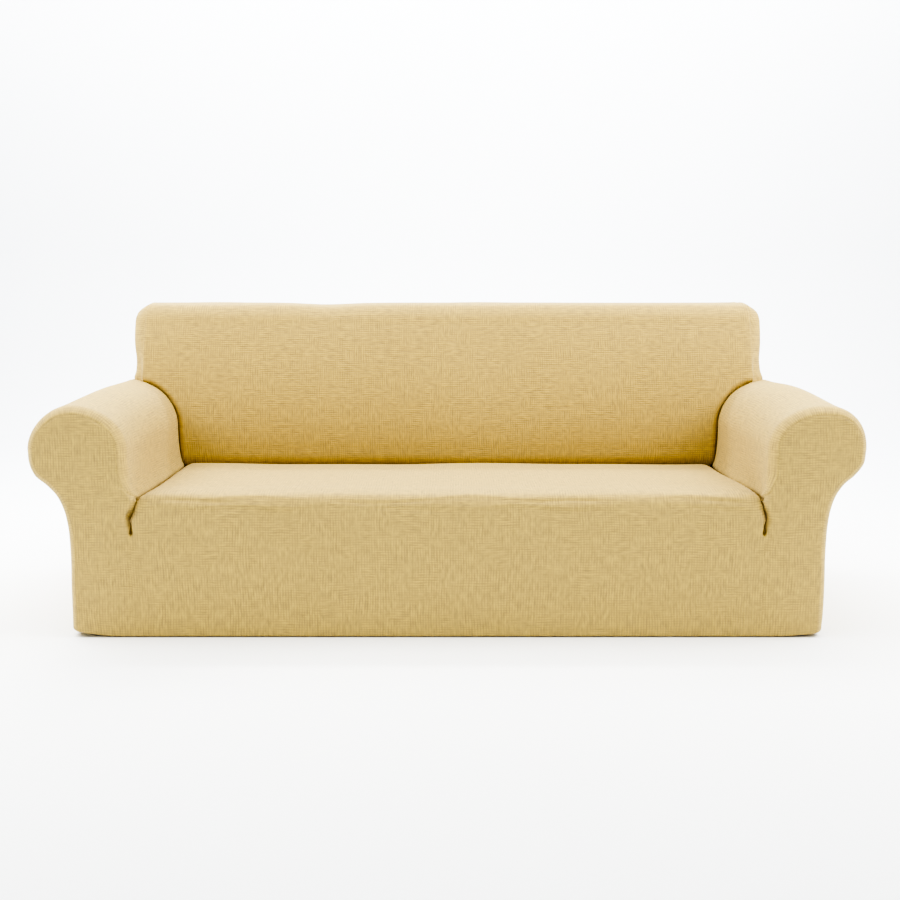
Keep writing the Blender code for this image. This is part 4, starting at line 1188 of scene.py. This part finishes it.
class SlipcoverCloth(bpy.types.PropertyGroup):
    """Sizes and colours of the cover's cloth."""
    thickness: metres("Thickness", "Thickness of the knit", 0.0013, 0.0005, 0.003)
    wale_pitch: metres("Wale pitch", "Width of one check of the knit", 0.0068, 0.003, 0.02)
    course_pitch: metres("Course pitch", "Height of one check of the knit", 0.0064, 0.003, 0.02)
    relief: metres("Relief", "Height of a check above its grooves", 0.0005, 0.0, 0.003)
    slubs: bpy.props.FloatProperty(
        name="Slubs", description="How much thicker stretches of yarn show", default=1.6,
        min=0.0, max=6.0)
    stitching: bpy.props.FloatProperty(
        name="Stitching", description="How strongly the seams pull the cloth in", default=1.0,
        min=0.0, max=2.0)
    crown: hex_colour("Crowns of the checks", "#C4AA5B")
    crown_deep: hex_colour("Crowns where the dye is deeper", "#BBA259")
    # the grooves' darker colour is partly painted shade in the sunken grooves
    groove: hex_colour("Grooves between the checks", "#958255")


class SlipcoverStudio(bpy.types.PropertyGroup):
    """Sizes and colours of the studio."""
    ground: hex_colour("Ground", "#F8FAFD")
    sweep: metres("Sweep radius", "Radius of the curve from floor to wall", 1.2, 0.2, 4.0)
    overhead: watts("Overhead light", "Power of the soft light above", 45.0)
    left: watts("Left light", "Power of the soft light at the left", 49.0)
    right: watts("Right light", "Power of the soft light at the right", 81.0)
    rim: watts("Rim light", "Power of the light above the left arm's rear end", 60.0)
    wall: watts("Wall light", "Power of the wall's light", 400.0)
    air: bpy.props.FloatProperty(name="Air", description="Strength of the even light from all "
                                 "around", default=0.7, min=0.0)


def add_object(name, data, material=None):
    """Links a new object at the origin, with one material."""
    item = bpy.data.objects.new(name, data)
    bpy.context.scene.collection.objects.link(item)
    if material:
        data.materials.append(material)
    return item


def add_panel(context, node):
    """Builds one panel in place of its solid, with the knit's material."""
    cloth = context.scene.slipcover_cloth
    material = bpy.data.materials.get("jacquard_stretch_knit") or knit_material(cloth)
    mesh = sheet_mesh(node, cloth.thickness, cloth.stitching)
    piece = add_object(node + "_cloth", mesh, material)
    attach(piece, "root")
    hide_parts(node)


class BuildsPanels:
    """Shared by the operators that build panels: each lists its solids' nodes."""

    def execute(self, context):
        for node in self.nodes:
            add_panel(context, node)
        return {"FINISHED"}


class BuildFrontPanel(BuildsPanels, bpy.types.Operator):
    """Seat, soft front edge, skirt and both arm fronts, one cloth"""
    bl_idname = "slipcover.front_panel"
    bl_label = "Front Panel"
    nodes = ("front_panel",)


class BuildArms(BuildsPanels, bpy.types.Operator):
    """Left and right arm: inner side, roll and outer side down to the hem"""
    bl_idname = "slipcover.arms"
    bl_label = "Arm Panels"
    nodes = ("arm_panel_left", "arm_panel_right")


class BuildBack(BuildsPanels, bpy.types.Operator):
    """Front of the backrest with its top, and the rear panel"""
    bl_idname = "slipcover.back"
    bl_label = "Backrest Panels"
    nodes = ("inside_back", "outside_back")


class BuildBackSides(BuildsPanels, bpy.types.Operator):
    """Narrow side pieces between the backrest's front and its rear"""
    bl_idname = "slipcover.back_sides"
    bl_label = "Backrest Sides"
    nodes = ("back_side_left", "back_side_right")


# ----------------------------------------------------------------------------------------- stage
CAMERA_PLACE = (0.005, -3.298, 0.8468)
CAMERA_PITCH = math.radians(90.0 - 7.4)
CAMERA_LENS = 46.46
CAMERA_SHIFT = (0.0004, 0.0014)
SWEEP_WIDTH = 7.0
SWEEP_FRONT = -6.0        # floor's front edge, behind the camera
SWEEP_BACK = 3.2          # where the floor starts to rise
SWEEP_TOP = 5.0
FLOOR = -0.001            # just under the hem

LAMP_COLOUR = (1.0, 0.975, 0.91)      # slightly warm
WALL_COLOUR = (1.0, 1.0, 1.0)
AIR_COLOUR = (0.94, 0.97, 1.0, 1.0)   # slightly cool
SENSOR_WIDTH = 36.0       # millimetres, as the lens
FARTHEST = 50.0           # metres that the camera sees
LIGHTS = (
    # name, place, aimed at, width, height, the setting with its power
    ("overhead_light", (0.3, -0.4, 2.6), (0.0, 0.0, 0.4), 3.6, 1.8, "overhead"),
    ("left_light", (-2.4, -0.5, 2.2), (0.7, 0.0, 0.4), 1.6, 1.6, "left"),
    ("right_light", (2.4, -0.5, 2.2), (-0.7, 0.0, 0.4), 1.6, 1.6, "right"),
    ("rim_light", (-1.9, 0.8, 2.5), (-0.5, 0.0, 0.6), 3.0, 0.8, "rim"),
    ("wall_light", (0.0, 2.2, 4.2), (0.0, 4.6, 1.2), 9.0, 1.2, "wall"),
)


def sweep_mesh(radius):
    """Floor that curves up into a wall: a quarter circle between two flats, extruded in x."""
    turn = np.linspace(0.0, PI_HALF, 33)
    back = SWEEP_BACK + radius * np.sin(turn)
    up = FLOOR + radius * (1.0 - np.cos(turn))
    depth = np.concatenate([np.linspace(SWEEP_FRONT, SWEEP_BACK, 12)[:-1], back, back[-1:]])
    height = np.concatenate([np.full(11, FLOOR), up, [SWEEP_TOP]])
    across = np.linspace(-SWEEP_WIDTH, SWEEP_WIDTH, 9)
    points = stack(across[None], depth[:, None], height[:, None])
    index = np.arange(points[..., 0].size).reshape(points.shape[:2])
    cells = Patch("stage", points, (0.0, 0.0), False).cells(index)
    mesh = bpy.data.meshes.new("studio_sweep")
    mesh.from_pydata(points.reshape(-1, 3).tolist(), [], cells.tolist())
    mesh.shade_smooth()
    return mesh


def aim(item, target):
    """Turns an object so that its -Z looks at a point."""
    item.rotation_euler = (Vector(target) - item.location).to_track_quat("-Z", "Y").to_euler()


class BuildStage(bpy.types.Operator):
    """Pale studio sweep, soft lights and the camera"""
    bl_idname = "slipcover.stage"
    bl_label = "Studio"

    def execute(self, context):
        studio = context.scene.slipcover_studio
        sweep = add_object("studio_sweep", sweep_mesh(studio.sweep),
                           stage_material(tuple(studio.ground)))
        for name, place, target, width, height, power in LIGHTS:
            data = bpy.data.lights.new(name, "AREA")
            data.shape = "RECTANGLE"
            data.size, data.size_y = width, height
            data.energy = getattr(studio, power)
            data.color = WALL_COLOUR if power == "wall" else LAMP_COLOUR
            light = add_object(name, data)
            light.location = place
            light.visible_camera = False
            aim(light, target)
        world = bpy.data.worlds.new("studio_air")
        world.use_nodes = True
        air = world.node_tree.nodes["Background"]
        air.inputs["Color"].default_value = AIR_COLOUR
        air.inputs["Strength"].default_value = studio.air
        context.scene.world = world
        context.scene.view_settings.view_transform = "AgX"
        context.scene.view_settings.look = "AgX - Very High Contrast"

        data = bpy.data.cameras.new("camera")
        data.lens = CAMERA_LENS
        data.sensor_width = SENSOR_WIDTH
        data.shift_x, data.shift_y = CAMERA_SHIFT
        data.clip_end = FARTHEST
        camera = add_object("camera", data)
        camera.location = CAMERA_PLACE
        camera.rotation_euler = (CAMERA_PITCH, 0.0, 0.0)
        context.scene.camera = camera
        return {"FINISHED"}


class SlipcoverPanel(bpy.types.Panel):
    """Lists the cover's sizes, colours and pieces"""
    bl_idname = "VIEW3D_PT_slipcover"
    bl_label = "Sofa Slipcover"
    bl_space_type = "VIEW_3D"
    bl_region_type = "UI"
    bl_category = "Slipcover"

    def draw(self, context):
        for group in (context.scene.slipcover_cloth, context.scene.slipcover_studio):
            for key in group.__annotations__:
                self.layout.prop(group, key)
        for step in OPERATORS:
            self.layout.operator(step.bl_idname)


GROUPS = (SlipcoverCloth, SlipcoverStudio)
OPERATORS = (BuildFrontPanel, BuildArms, BuildBack, BuildBackSides, BuildStage)


def register():
    """Adds the classes and the scene's two groups of settings."""
    for kind in (*GROUPS, *OPERATORS, SlipcoverPanel):
        bpy.utils.register_class(kind)
    bpy.types.Scene.slipcover_cloth = bpy.props.PointerProperty(type=SlipcoverCloth)
    bpy.types.Scene.slipcover_studio = bpy.props.PointerProperty(type=SlipcoverStudio)


def unregister():
    """Takes the classes and settings away again."""
    del bpy.types.Scene.slipcover_studio
    del bpy.types.Scene.slipcover_cloth
    for kind in reversed((*GROUPS, *OPERATORS, SlipcoverPanel)):
        bpy.utils.unregister_class(kind)


def main():
    """Builds everything in order."""
    register()
    bpy.ops.slipcover.front_panel()
    bpy.ops.slipcover.arms()
    bpy.ops.slipcover.back()
    bpy.ops.slipcover.back_sides()
    bpy.ops.slipcover.stage()


if __name__ == "__main__":
    main()
